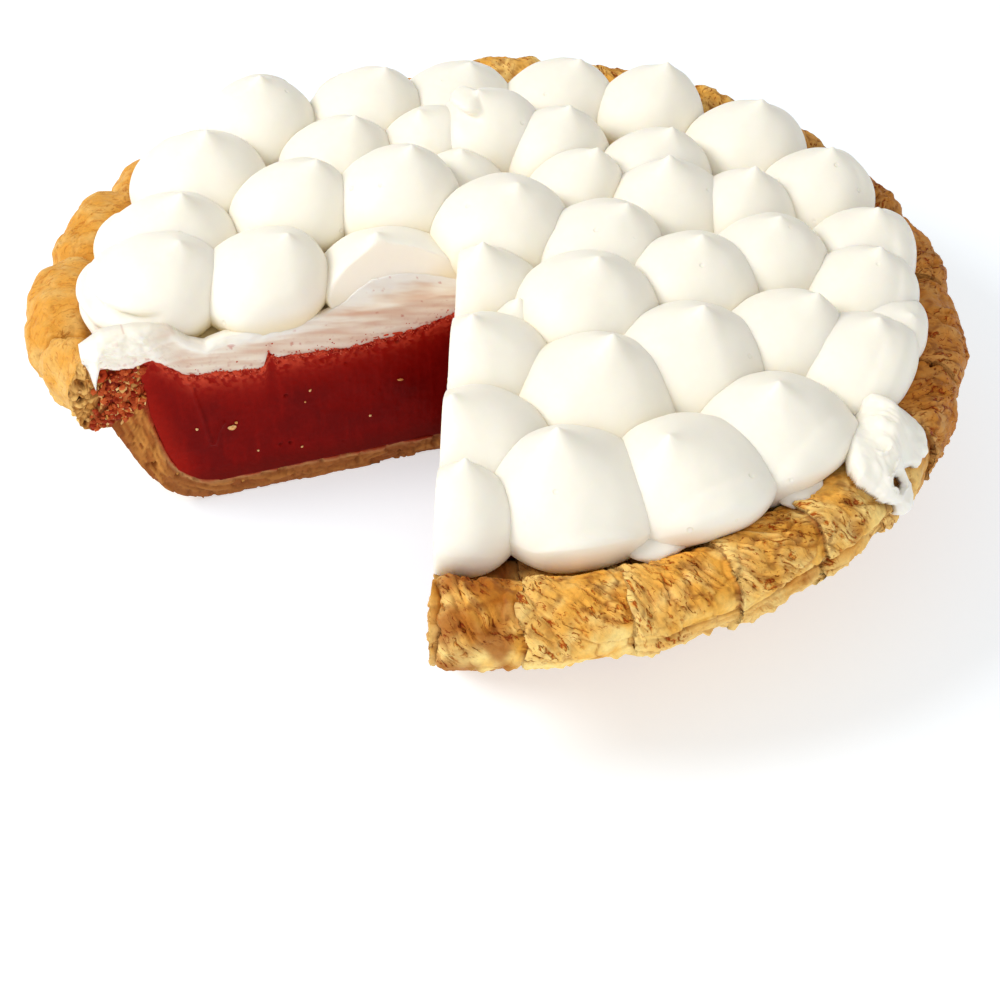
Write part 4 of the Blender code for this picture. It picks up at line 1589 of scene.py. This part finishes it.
@dataclass
class Kisses:
    """The rings of whipped cream kisses on top of the pie."""

    crust: Crust
    filling: Filling
    cream: Material
    belly: float = 0.26
    foot: float = 0.80
    keeps_round: float = 1.5
    lean_back: float = 0.5
    rim_press: float = 5.0
    fuller: float = 1.08
    above_crust: float = -0.9
    looks_ahead: float = 1.5
    reach_limit: float = 122.0
    scoop_slope: float = 0.466
    taller: float = 1.6
    sides: int = 84
    sides_scooped: int = 96
    rings: int = 42
    grain: Grain = Grain(37)

    def widest(self, kiss: Kiss, heading: Array) -> Array:
        """How far the belly of a kiss reaches, inside the rim.

        Args:
            kiss: The kiss.
            heading: The level direction at each point around it.

        Returns:
            One reach for each direction.
        """
        start = np.broadcast_to(kiss.middle, heading.shape)
        reach = kiss.width / 2 * self.fuller
        ahead = (start * heading).sum(-1)
        inside = np.maximum(0.0, ahead ** 2 + self.reach_limit ** 2 - (start ** 2).sum(-1))
        to_rim = np.maximum(0.5, -ahead + np.sqrt(inside))
        press = self.rim_press
        return (reach ** -press + to_rim ** -press) ** (-1.0 / press)

    def profile(self, kiss: Kiss) -> tuple[Array, Array, Array]:
        """The side view of a kiss, from its foot to its tip.

        Args:
            kiss: The kiss.

        Returns:
            Shares of half its width, of its height up to the belly, and of its nub.
        """
        under = np.linspace(0.0, math.pi / 2, 11)[:-1]
        low = 1.0 - np.cos(under)
        foot_width = self.foot + (1.0 - self.foot) * np.sin(under)
        turn = evenly(self.rings - len(low) - 1)
        over_width = np.cos(turn * math.pi / 2) ** 1.3
        slim = kiss.by_point(0.14, 0.18, 0.22, 0.28)
        spike = np.exp(-np.sqrt(over_width ** 2 + 0.0006) / slim)
        width = np.concatenate([foot_width, over_width])
        height = np.concatenate([low * self.belly, np.full(len(turn), self.belly)])
        spike = np.concatenate([low * 0.0, spike / spike.max()])
        return width, height, spike

    def dome(self, kiss: Kiss, width: Array) -> Array:
        """The round of a kiss above its belly, by the share of half its width from its axis."""
        return (1.0 - np.clip(width, 0.0, 1.0) ** 2) ** kiss.by_point(0.53, 0.58, 0.64, 0.80)

    def shape(self, kiss: Kiss, number: int, sides: int) -> Array:
        """The points of one kiss.

        Args:
            kiss: The kiss.
            number: Its number, which seeds its unevenness.
            sides: How many points there are around it.

        Returns:
            A grid of points, rings by sides.
        """
        width, share, spike = self.profile(kiss)
        angle = np.linspace(0.0, 2.0 * math.pi, sides, endpoint=False)
        heading = np.broadcast_to(
            merged(np.cos(angle), np.sin(angle)), (len(share), sides, 2)
        )
        lean = np.array([kiss.lean, self.lean_back])
        round_ = np.where(share < self.belly, 0.0, self.dome(kiss, width))
        shift = 0.5 * lean * (round_ ** 2)[:, None, None]
        towards_tip = (0.5 * lean + kiss.tip) * bell(width, 0.45)[:, None, None]
        start = np.broadcast_to(kiss.middle + shift + towards_tip, heading.shape)
        wobble = self.grain.at(raised(heading * 1.3, width[:, None] + number * 7.7))
        widest = self.widest(kiss, heading[:1])
        even = np.mean(widest)
        sized = even + (widest - even) * width[:, None] ** self.keeps_round
        sized = sized * (1.0 + 0.035 * wobble)
        free = sized * width[:, None]
        nub = kiss.by_point(0.13, 0.20, 0.29, 0.42)
        loose = start + heading * free[..., None]
        off = length_of(loose - kiss.middle - shift)
        rise = (1.0 - nub) * self.dome(kiss, off / sized)
        rise = np.where(share[:, None] < self.belly, 0.0, rise + nub * spike[:, None])
        share = share[:, None] + (1.0 - self.belly) * rise
        if number == LOBED:
            facing = ramp(0.0, 0.7, heading @ polar(205.0))
            lobes = np.abs(np.sin(math.pi * (share * 4.0 + 0.15 * wobble))) ** 0.6
            free = free + 3.6 * facing * (lobes - 0.7) * between((0.0, 0.08, 0.6, 0.8), share)
        elif number == CURLED:
            facing = ramp(0.1, 0.8, heading @ polar(190.0))
            lip = bell(width - 0.30, 0.09) - 0.45 * bell(width - 0.52, 0.10)
            free = free + 3.4 * facing * lip[:, None] * (1.0 + 0.5 * wobble)
            share = share + 0.07 * facing * bell(width - 0.24, 0.12)[:, None]
        ground = start + heading * free[..., None]
        grid = raised(ground, self.height_at(kiss, ground, share))
        soft = self.grain.layers(grid + number * 13.0, 9.0, 2)
        grid[..., 2] += 0.35 * soft * ramp(0.05, 0.3, share)
        return grid

    def height_at(self, kiss: Kiss, ground: Array, share: Array) -> Array:
        """The height of points of a kiss, which rests on the cream layer and on the rim.

        Args:
            kiss: The kiss.
            ground: Points in the ground plane.
            share: Shares of the kiss's height.

        Returns:
            Heights in millimetres.
        """
        radius = length_of(ground)
        base = self.filling.cream_height(radius) - 0.4
        peak = self.filling.cream_height(np.linalg.norm(kiss.middle)) - 0.4
        peak = peak + kiss.height + self.taller
        over = radius > self.filling.cream_reach
        if over.any():
            direction = direction_of(ground)
            top = np.full(radius.shape, -100.0)
            top[over] = self.crust.crust_top(direction[over], radius[over] + self.looks_ahead)
            entry = ramp(self.filling.cream_reach, self.filling.cream_reach + 4.0, radius)
            lifted = np.logaddexp(base * 0.9, (top + self.above_crust) * 0.9) / 0.9 - 0.3
            base = np.where(over, base + (lifted - base) * entry, base)
        return base + (peak - base) * share

    def near_others(self, grid: Array, number: int) -> Array:
        """Where a kiss touches its neighbours.

        Args:
            grid: Its points.
            number: Its number.

        Returns:
            1 where another kiss is touched, falling to 0 away from it.
        """
        near = np.zeros(grid.shape[:2])
        for other, kiss in enumerate(KISSES):
            if other != number:
                apart = length_of(grid[..., :2] - kiss.middle) / (kiss.width / 2)
                near = np.maximum(near, fall(0.80, 1.20, apart))
        return near

    def trim(self, grid: Array, number: int, kiss: Kiss) -> Array:
        """Flattens a kiss where the knife has passed.

        Args:
            grid: Its points, which are moved.
            number: Its number.
            kiss: The kiss.

        Returns:
            How much each point lies on a cut.
        """
        cut = np.zeros(grid.shape[:2])
        left, right = SLICE.out(Side.LEFT), SLICE.out(Side.RIGHT)
        if number in UNCUT:
            ahead = (grid[..., :2] - SLICE.point) @ left
            pushed = 3.0 * (1.0 - np.exp(-np.maximum(ahead, 0.0) / 3.0))
            grid[..., :2] += ((pushed - ahead) * (ahead > 0.0))[..., None] * left
            return cut
        for outward, other in ((left, right), (right, left)):
            if (kiss.middle - SLICE.point) @ other > 0.0:
                ahead = (grid[..., :2] - SLICE.point) @ outward + 0.05
                grid[..., :2] -= np.maximum(ahead, 0.0)[..., None] * outward
                cut = np.maximum(cut, ramp(-0.2, 0.1, ahead))
        if number == SCOOPED:
            plane = np.array([*left, self.scoop_slope])
            plane /= np.linalg.norm(plane)
            ahead = (grid - [*SLICE.point, self.filling.cream_level]) @ plane
            grid -= np.maximum(ahead, 0.0)[..., None] * plane
            cut = np.maximum(cut, ramp(-0.2, 0.1, ahead))
        return cut

    def build(self, number: int) -> Object:
        """Makes one kiss.

        Args:
            number: Its place in the list.

        Returns:
            The kiss.
        """
        kiss, scooped = KISSES[number], number == SCOOPED
        grid = self.shape(kiss, number, self.sides_scooped if scooped else self.sides)
        cut = self.trim(grid, number, kiss)
        rings, sides = grid.shape[:2]
        radius = length_of(grid[..., :2])
        low = grid[..., 2] - self.filling.cream_height(radius)
        # painted shade: the kisses are tinted warm and darker at their feet and where they meet
        # their neighbours
        painted_shade = 0.75 * fall(1.0, 9.0, low)
        painted_shade = painted_shade + 0.45 * self.near_others(grid, number) * fall(6.0, 17.0, low)
        inside = fall(96.0, 107.0, radius)
        tint = paint(
            CREAM_WHITE, (CREAM_IN_SHADE, np.clip(painted_shade, 0.0, 0.85) * inside),
            (linear(238, 224, 208), (0.4 if scooped else 0.75) * cut),
        )
        points, colours = (listed(part, part[0].mean(axis=0)) for part in (grid, tint))
        faces = sheet_faces(rings, sides, around=True)
        faces += [(rings * sides, side, (side + 1) % sides) for side in range(sides)]
        return make_piece(f"kiss_{number + 1:02d}", points, faces, self.cream, colours, weld=0.02)


# The slumped kiss


@dataclass
class SlumpedKiss:
    """The kiss that has slid over the rim at the right and hangs down outside."""

    crust: Crust
    cream: Material
    half_width: float = 15.0
    arc_deg: Pair = (150.0, 2.0)
    thickness: float = 8.0
    edge: float = 1.0
    gap: float = 0.9
    outline: tuple = (
        (-0.25, -0.72), (0.30, -1.00), (0.74, -0.97), (0.84, -0.60), (0.76, -0.15),
        (0.58, 0.18), (0.30, 0.50), (0.16, 0.46), (0.02, 0.52), (-0.12, 0.40), (-0.34, 0.33),
        (-0.30, 0.60), (-0.44, 0.80), (-0.58, 1.02), (-0.74, 0.98), (-0.80, 0.72),
        (-0.98, 0.56), (-1.12, 0.28), (-1.26, 0.02), (-1.18, -0.22), (-0.80, -0.52),
    )
    hole: tuple[float, float, float] = (-0.60, 0.44, 0.12)
    fold_heading: Pair = (0.52, 0.85)
    grid: int = 150
    grain: Grain = Grain(41)

    def inside(self, across: Array, along: Array) -> Array:
        """How far places are inside the cream's torn outline: below 0 outside it.

        Args:
            across: From -1 to 1 round the rim.
            along: From -1 inside to 1 outside.

        Returns:
            The distances.
        """
        outline = self.outline + self.outline[:1]
        within = np.zeros(across.shape, bool)
        for first, last in zip(outline, outline[1:]):
            crossed = (first[1] > along) != (last[1] > along)
            rise = (last[1] - first[1]) or 1e-9
            at = first[0] + (along - first[1]) / rise * (last[0] - first[0])
            within ^= crossed & (across < at)
        nearest = apart_from(outline, merged(across, along), 9.0)
        return np.where(within, nearest, -nearest)

    def place(self, across: Array, along: Array, lift: Array) -> Array:
        """Points over the rim.

        Args:
            across: From -1 to 1 round the rim.
            along: From -1 inside to 1 outside.
            lift: The height over the rim.

        Returns:
            Points in space.
        """
        first, last = self.arc_deg
        arc = np.radians(first + (last - first) * (along + 1.0) / 2.0)
        outward = merged(np.cos(arc), np.sin(arc))
        half_size = (self.crust.rim_half_width, self.crust.rim_half_height)
        plain = self.crust.rim_centre + half_size * outward
        turn = np.degrees(across * self.half_width / self.crust.rim_centre[0])
        direction = SLUMP_DEG + turn
        moved = plain + self.crust.rim_offset(direction, plain[..., 0], plain[..., 1], 1.0)
        moved = moved + outward * (self.gap + lift)[..., None]
        return raised(polar(direction, moved[..., 0]), moved[..., 1])

    def build(self) -> Object:
        """Makes the slumped kiss.

        Returns:
            A folded sheet of cream.
        """
        across, along = np.meshgrid(
            np.linspace(-1.35, 0.95, self.grid), np.linspace(-1.1, 1.1, self.grid), indexing="ij"
        )
        flat = merged(across * 15.0, along * 15.0, 0.0)
        rough = self.grain.layers(flat, 5.0)
        outer = ramp(0.0, 0.4, along)
        deep = self.inside(across, along) + 0.05 * rough * (0.3 + outer)
        apart = np.hypot(across - self.hole[0], along - self.hole[1])
        strand = np.abs(self.grain.at(flat + 60.0, (9.0, 3.0, 1.0)))
        deep = np.minimum(deep, apart - self.hole[2] - 0.04 * rough + 0.10 * (strand < 0.07))
        turned = across * self.fold_heading[0] + along * self.fold_heading[1]
        fold = 0.5 + 0.5 * np.cos(turned * 9.5 + 1.2 * rough + 0.8)
        crown = np.sqrt(np.clip(deep / 0.42, 0.0, 1.0))
        crown = crown * (1.0 - 0.72 * ramp(-0.3, 0.7, along))
        lift = self.edge * ramp(0.0, 0.06, deep)
        lift = lift + self.thickness * crown * (0.62 + 0.38 * fold)
        lift = lift + 0.45 * rough * ramp(0.0, 0.2, deep)
        upper = self.place(across, along, lift)
        lower = self.place(across, along, np.minimum(lift - 0.9, 0.0) - 0.5)
        points, faces = torn_sheet(upper, lower, deep[:-1, :-1] > 0.0)
        return make_piece("slumped_kiss", points, faces, self.cream, CREAM_WHITE, weld=0.0)


# Crumbs and squeezed cream


def lumps(places: list, name: str, material: Material, colours: tuple, grain: Grain) -> Object:
    """Makes one piece of a few uneven lumps.

    Args:
        places: The middle and the three half axes of each lump.
        name: The name of the piece.
        material: What it is made of.
        colours: The two colours between which they vary.
        grain: What makes them uneven.

    Returns:
        The piece.
    """
    rings, sides = 12, 18
    turn = np.linspace(0.0, 2.0 * math.pi, sides, endpoint=False)[None, :]
    tilt = np.linspace(0.0, math.pi, rings)[:, None]
    ball = merged(np.sin(tilt) * np.cos(turn), np.sin(tilt) * np.sin(turn), np.cos(tilt))
    points, faces, tints = [], [], []
    for number, (middle, axes) in enumerate(places):
        rough = grain.layers(ball + 5.0 * number, 0.9, 2)
        shape = ball * (1.0 + 0.28 * rough)[..., None]
        points.append(middle + shape @ np.array(axes))
        faces += sheet_faces(rings, sides, start=number * rings * sides, around=True)
        shade = ramp(-0.5, 0.5, rough + 0.5 * math.sin(number * 2.1))
        tints.append(blend(*colours, shade))
    return make_piece(name, listed(*points), faces, material, listed(*tints), weld=0.002)


@cache
def scatter_group() -> NodeTree:
    """The geometry nodes that strew uneven bits over a surface.

    Returns:
        The group, made on the first call.
    """
    kinds = {
        "Geometry": "Geometry", "Density": "Float", "Size From": "Float", "Size To": "Float",
        "Flatness": "Float", "Seed": "Int", "Colour From": "Color", "Colour To": "Color",
        "Material": "Material",
    }
    group, given, out = new_group(
        "strewn_bits", "GeometryNodeTree", kinds, {"Geometry": "Geometry"}
    )
    mask = add_node(group, "GeometryNodeInputNamedAttribute", {"Name": "mask"}, data_type="FLOAT")
    wanted = calculate(group, "MULTIPLY", given["Density"], mask.outputs["Attribute"])
    strewn = add_node(group, "GeometryNodeDistributePointsOnFaces", {
        "Mesh": given["Geometry"], "Density": wanted, "Seed": given["Seed"],
    })
    bit = add_node(group, "GeometryNodeMeshIcoSphere", {"Radius": 1.0, "Subdivisions": 1})
    rough = add_node(group, "ShaderNodeTexNoise", {"Scale": 0.9}).outputs["Color"]
    centred = add_node(
        group, "ShaderNodeVectorMath", {0: rough, 1: (0.5, 0.5, 0.5)}, operation="SUBTRACT"
    ).outputs["Vector"]
    stronger = add_node(
        group, "ShaderNodeVectorMath", {0: centred, "Scale": 2.0}, operation="SCALE"
    ).outputs["Vector"]
    uneven = add_node(
        group, "GeometryNodeSetPosition", {"Geometry": bit.outputs["Mesh"], "Offset": stronger}
    )
    size, turned, shade = (
        add_node(group, "FunctionNodeRandomValue", inputs, data_type=kind).outputs
        for kind, inputs in (
            ("FLOAT", {2: given["Size From"], 3: given["Size To"]}),
            ("FLOAT_VECTOR", {1: (6.28, 6.28, 6.28)}), ("FLOAT", {"Seed": 7}),
        )
    )
    thin = calculate(group, "MULTIPLY", size[1], given["Flatness"])
    stretch = add_node(group, "ShaderNodeCombineXYZ", {"X": size[1], "Y": size[1], "Z": thin})
    placed = add_node(group, "GeometryNodeInstanceOnPoints", {
        "Points": strewn.outputs["Points"], "Instance": uneven.outputs["Geometry"],
        "Rotation": turned[0], "Scale": stretch.outputs["Vector"],
    })
    colours = {0: shade[1], 6: given["Colour From"], 7: given["Colour To"]}
    mixed = add_node(group, "ShaderNodeMix", colours, data_type="RGBA").outputs[2]
    tinted = add_node(
        group, "GeometryNodeStoreNamedAttribute",
        {"Geometry": placed.outputs["Instances"], "Name": "tint", "Value": mixed},
        data_type="FLOAT_COLOR", domain="INSTANCE",
    )
    real = add_node(
        group, "GeometryNodeRealizeInstances", {"Geometry": tinted.outputs["Geometry"]}
    )
    covered = add_node(group, "GeometryNodeSetMaterial", {
        "Geometry": real.outputs["Geometry"], "Material": given["Material"],
    })
    set_inputs(group, out, {"Geometry": covered.outputs["Geometry"]})
    return group


@dataclass(frozen=True)
class Bits:
    """Small bits of one kind that lie strewn over a part of the pie."""

    name: str
    density: float  # for each square millimetre
    size: Pair  # half widths in millimetres
    flatness: float
    colours: tuple
    seed: int

    def build(self, grid: Array, mask: Array, material: Material) -> Object:
        """Strews the bits over a surface.

        Args:
            grid: The surface, in millimetres.
            mask: How many bits lie at each point of it, from 0 to 1.
            material: What they are made of.

        Returns:
            One piece with all the bits.
        """
        mesh = bpy.data.meshes.new(self.name)
        mesh.from_pydata((grid.reshape(-1, 3) * MM).tolist(), [], sheet_faces(*grid.shape[:2]))
        keep_on(mesh, "mask", "FLOAT", "value", np.clip(mask, 0.0, 1.0))
        host = add_object(f"{self.name}_host", mesh)
        group = scatter_group()
        wanted = {
            "Density": self.density / MM ** 2, "Size From": self.size[0] * MM,
            "Size To": self.size[1] * MM, "Flatness": self.flatness, "Seed": self.seed,
            "Colour From": (*self.colours[0], 1.0), "Colour To": (*self.colours[1], 1.0),
            "Material": material,
        }
        modifier = host.modifiers.new("strewn", "NODES")
        modifier.node_group = group
        for item in group.interface.items_tree:
            if item.in_out == "INPUT" and item.name in wanted:
                modifier[item.identifier] = wanted[item.name]
        ready = host.evaluated_get(bpy.context.evaluated_depsgraph_get())
        bits = bpy.data.meshes.new_from_object(ready)
        bpy.data.objects.remove(host)
        return add_object(self.name, bits)


@dataclass
class Remains:
    """What the knife left: crumbs on the cut, granules at the custard's edge, squeezed cream."""

    crust: Crust
    smear: KnifeSmear
    pastry: Material
    custard: Material
    cream: Material
    crumb_places: tuple = (
        (68.2, 25.1, 1.25, 0.85), (78.2, 27.1, 0.5, 0.4), (18.4, 30.0, 0.35, 1.0),
        (48.5, 12.6, 0.45, 0.3), (61.4, 14.6, 0.35, 0.3), (46.7, 29.0, 0.3, 0.3),
        (45.0, 32.8, 0.5, 0.35), (27.8, 18.9, 0.4, 0.4), (66.9, 26.6, 0.5, 0.4),
    )
    torn_places: tuple = (
        (92.4, 46.5, 1.7), (94.5, 43.5, 2.2), (96.8, 40.3, 2.3), (99.6, 43.0, 2.2),
        (101.3, 39.5, 2.0), (99.0, 37.5, 1.8), (95.2, 39.6, 1.5),
        (102.0, 43.8, 1.6), (97.2, 46.2, 1.8), (93.5, 50.5, 2.0), (96.8, 51.8, 2.1),
        (99.8, 50.4, 2.0), (91.4, 52.2, 1.6), (95.2, 48.6, 2.0), (98.6, 47.8, 1.9),
        (101.8, 47.6, 1.8), (102.2, 51.6, 1.7),
    )
    squeezed: tuple = ((290.8, 111.5, 54.2, 7.5), (311.9, 115.0, 55.4, 7.0))
    grain: Grain = Grain(61)

    def build_crumbs(self) -> Object:
        """Makes the single crumbs that stick to the custard and to the cream at the corner.

        Returns:
            The crumbs.
        """
        places = []
        level, out = raised(np.array([SLICE.along(Side.LEFT), SLICE.out(Side.LEFT)]), 0.0)
        for number, (along, height, wide, tall) in enumerate(self.crumb_places):
            turn = number * 0.9
            first = level * math.cos(turn) + UP * math.sin(turn)
            second = -level * math.sin(turn) + UP * math.cos(turn)
            axes = (first * wide, second * tall, out * 0.4 * (wide + tall) / 2)
            places.append((SLICE.on_face(Side.LEFT, along, height, 0.25), axes))
        for number in range(7):
            along, height = 87.5 + 1.1 * (number % 4) + 0.4 * number, 48.2 + 1.5 * (number % 3)
            size = 0.45 + 0.15 * (number % 3)
            places.append((SLICE.on_face(Side.RIGHT, along, height, 0.3), np.eye(3) * size))
        colours = (linear(206, 134, 66), linear(240, 200, 140))
        return lumps(places, "crust_crumbs", self.pastry, colours, self.grain)

    def build_torn(self) -> Object:
        """Makes the lumps of red, soaked pastry where the crust is torn off.

        Returns:
            The lumps.
        """
        places = []
        for number, (along, height, size) in enumerate(self.torn_places):
            turn = polar(70.0 * number)
            axes = np.array([[*turn, 0.3], [-turn[1], turn[0], 0.5], [0.2, 0.1, 1.0]])
            axes = axes * np.array([[size], [size * 0.8], [size * 0.7]])
            places.append((SLICE.on_face(Side.LEFT, along, height, -0.9), axes))
        colours = (linear(112, 24, 12), linear(200, 76, 38))
        return lumps(places, "torn_lumps", self.pastry, colours, self.grain)

    def build_squeezed(self) -> Object:
        """Makes the thin cream that was squeezed out from under the front kisses.

        Returns:
            The squeezed cream.
        """
        places = []
        for direction, distance, height, wide in self.squeezed:
            out, beside = raised(polar(np.array([direction, direction + 90.0])), 0.0)
            middle = raised(polar(direction, distance), height)
            places.append((middle, (beside * wide, out * 5.0, UP * 2.6)))
        colours = (CREAM_WHITE, CREAM_WHITE)
        return lumps(places, "squeezed_cream", self.cream, colours, self.grain)

    def build_granules(self) -> Object:
        """Makes the red granules where the custard meets the smeared cream.

        Returns:
            The granules.
        """
        along = np.broadcast_to(np.linspace(1.0, 92.0, 300), (24, 300))
        up = np.linspace(-1.6, 5.0, 24)[:, None]
        grid = SLICE.on_face(Side.LEFT, along, self.smear.edge(along) + up, 0.42)
        patchy = ramp(-0.2, 0.5, self.grain.layers(merged(along, up, 0.0), 6.0))
        mask = bell(up, 0.9) + 0.42 * patchy * np.exp(-np.maximum(up, 0.0) / 2.0)
        colours = (linear(172, 34, 20), linear(222, 104, 78))
        bits = Bits("red_granules", 2.8, (0.12, 0.34), 0.8, colours, seed=5)
        return bits.build(grid, mask, self.custard)

    def build_flakes(self) -> list[Object]:
        """Makes the flakes and crumbs at the torn end of the crust.

        Returns:
            The golden flakes and the red crumbs.
        """
        grid = self.crust.torn
        loose = ramp(-0.4, 0.4, self.grain.layers(grid, 5.0, 2))
        soaked = self.crust.soaked(grid)
        along, height = np.meshgrid(np.linspace(90.0, 106.0, 40), np.linspace(31.0, 54.5, 52))
        bulge = 1.3 * self.grain.layers(merged(along, height, 0.0), 4.0, 2)
        patch = SLICE.on_face(Side.LEFT, along, height, 0.5 + bulge)
        from_line = (along - 97.5) * 0.62 + (height - 41.0) * 0.78
        on_patch = between((-5.0, -3.0, 9.0, 11.0), from_line)
        on_patch = on_patch * between((90.0, 92.0, 102.0, 105.0), along)
        on_patch = on_patch * ramp(34.5, 36.5, height)
        golden = (linear(206, 140, 60), linear(246, 208, 140))
        red = (linear(140, 34, 16), linear(208, 100, 50))
        flakes = Bits("torn_flakes", 0.3, (0.3, 1.1), 0.35, golden, seed=3)
        crumbs = Bits("torn_crumbs", 0.7, (0.35, 1.15), 0.85, red, seed=4)
        return [bits.build(place, mask, self.pastry) for bits, place, mask in (
            (flakes, grid, loose * (0.2 + 0.8 * soaked)),
            (crumbs, grid, (1.0 - 0.6 * loose) * soaked),
            (replace(flakes, name="inner_flakes", seed=8), patch, on_patch),
            (replace(crumbs, name="inner_crumbs", seed=9), patch, on_patch),
        )]


# Floor, light and camera


def add_looking(name: str, data: ID, place: tuple, target: tuple) -> Object:
    """Adds a light or a camera that looks at a target.

    Args:
        name: Its name.
        data: The light or the camera.
        place: Where it stands.
        target: What it looks at.

    Returns:
        The object.
    """
    made = add_object(name, data)
    made.location = place
    made.rotation_euler = (Vector(target) - Vector(place)).to_track_quat("-Z", "Y").to_euler()
    return made


@dataclass
class Studio:
    """The pale floor, the soft light and the camera at the photograph's angle."""

    eye: tuple[float, float, float] = (0.0, -0.4734, 0.4087)
    target: tuple[float, float, float] = (0.0, 0.0, 0.040)
    lens: float = 74.66
    shift: Pair = (0.0064, -0.169)
    world: float = 0.57
    floor_size: float = 6.0
    lights: tuple = (  # name, place, power in watts, width, colour
        ("key", (-0.90, -0.15, 0.90), 9.6, 0.5, (1.0, 0.98, 0.94)),
        ("fill", (0.22, -1.4, 0.60), 4.6, 1.2, (1.0, 0.98, 0.95)),
    )
    lit: tuple[float, float, float] = (0.0, 0.0, 0.03)

    def build_floor(self) -> None:
        """Makes the floor with its pale material."""
        half = self.floor_size / 2
        mesh = bpy.data.meshes.new("floor")
        corners = [(-half, -half, 0.0), (half, -half, 0.0), (half, half, 0.0), (-half, half, 0.0)]
        mesh.from_pydata(corners, [], [(0, 1, 2, 3)])
        material = bpy.data.materials.new("pale_floor")
        material.use_nodes = True
        set_inputs(material.node_tree, material.node_tree.nodes["Principled BSDF"], {
            "Base Color": (0.585, 0.65, 0.71, 1.0), "Emission Color": (1.0, 1.0, 1.0, 1.0),
            "Emission Strength": 0.51, "Roughness": 0.9, "Specular IOR Level": 0.1,
        })
        mesh.materials.append(material)
        add_object("floor", mesh)

    def build_light(self) -> None:
        """Sets the white surroundings and the lights."""
        world = bpy.data.worlds.new("studio")
        world.use_nodes = True
        set_inputs(world.node_tree, world.node_tree.nodes["Background"], {
            "Color": (1.0, 1.0, 1.0, 1.0), "Strength": self.world,
        })
        bpy.context.scene.world = world
        for name, place, power, size, colour in self.lights:
            data = bpy.data.lights.new(name, "AREA")
            data.energy, data.shape, data.size, data.color = power, "DISK", size, colour
            add_looking(name, data, place, self.lit)
        bpy.context.scene.view_settings.view_transform = "Standard"
        bpy.context.scene.view_settings.look = "None"

    def build_camera(self) -> None:
        """Sets the camera."""
        data = bpy.data.cameras.new("camera")
        data.sensor_width, data.lens, data.clip_end = 36.0, self.lens, 20.0
        data.shift_x, data.shift_y = self.shift
        bpy.context.scene.camera = add_looking("camera", data, self.eye, self.target)


# Putting it together


def main() -> None:
    """Builds the pie, piece by piece, then the studio."""
    logging.basicConfig(level=logging.INFO, format="%(message)s")
    pastry, custard, cream = (
        finish.build() for finish in (PASTRY_FINISH, CUSTARD_FINISH, CREAM_FINISH)
    )
    crust = Crust(pastry)
    filling = Filling(crust, custard, cream)
    for part, first, last in (("front", 267.3, 334.0), ("back", 333.7, 558.2)):
        hand_over(crust.build_rim(part, first, last), Slot.PASTRY, "crust")
    hand_over(crust.build_shell(), Slot.PASTRY, "crust")
    for smear in (LEFT_SMEAR, RIGHT_SMEAR):
        hand_over(crust.build_cut(smear.side), Slot.PASTRY, "crust")
        hand_over(filling.build_cut(smear), Slot.CUSTARD, "custard_filling")
        hand_over(smear.build(cream), Slot.CREAM, "cream_layer")
    hand_over(filling.build_custard(), Slot.CUSTARD, "custard_filling")
    hand_over(filling.build_cream(), Slot.CREAM, "cream_layer")
    kisses = Kisses(crust, filling, cream)
    for number in range(len(KISSES)):
        hand_over(kisses.build(number), Slot.CREAM, f"cream_kiss_{number + 1:02d}")
    hand_over(SlumpedKiss(crust, cream).build(), Slot.CREAM, "cream_slump")
    remains = Remains(crust, LEFT_SMEAR, pastry, custard, cream)
    hand_over(remains.build_crumbs(), Slot.PASTRY)
    hand_over(remains.build_torn(), Slot.PASTRY)
    hand_over(remains.build_squeezed(), Slot.CREAM)
    hand_over(remains.build_granules(), Slot.CUSTARD)
    for bits in remains.build_flakes():
        hand_over(bits, Slot.PASTRY)
    studio = Studio()
    studio.build_floor()
    studio.build_light()
    studio.build_camera()


if __name__ == "__main__":
    main()
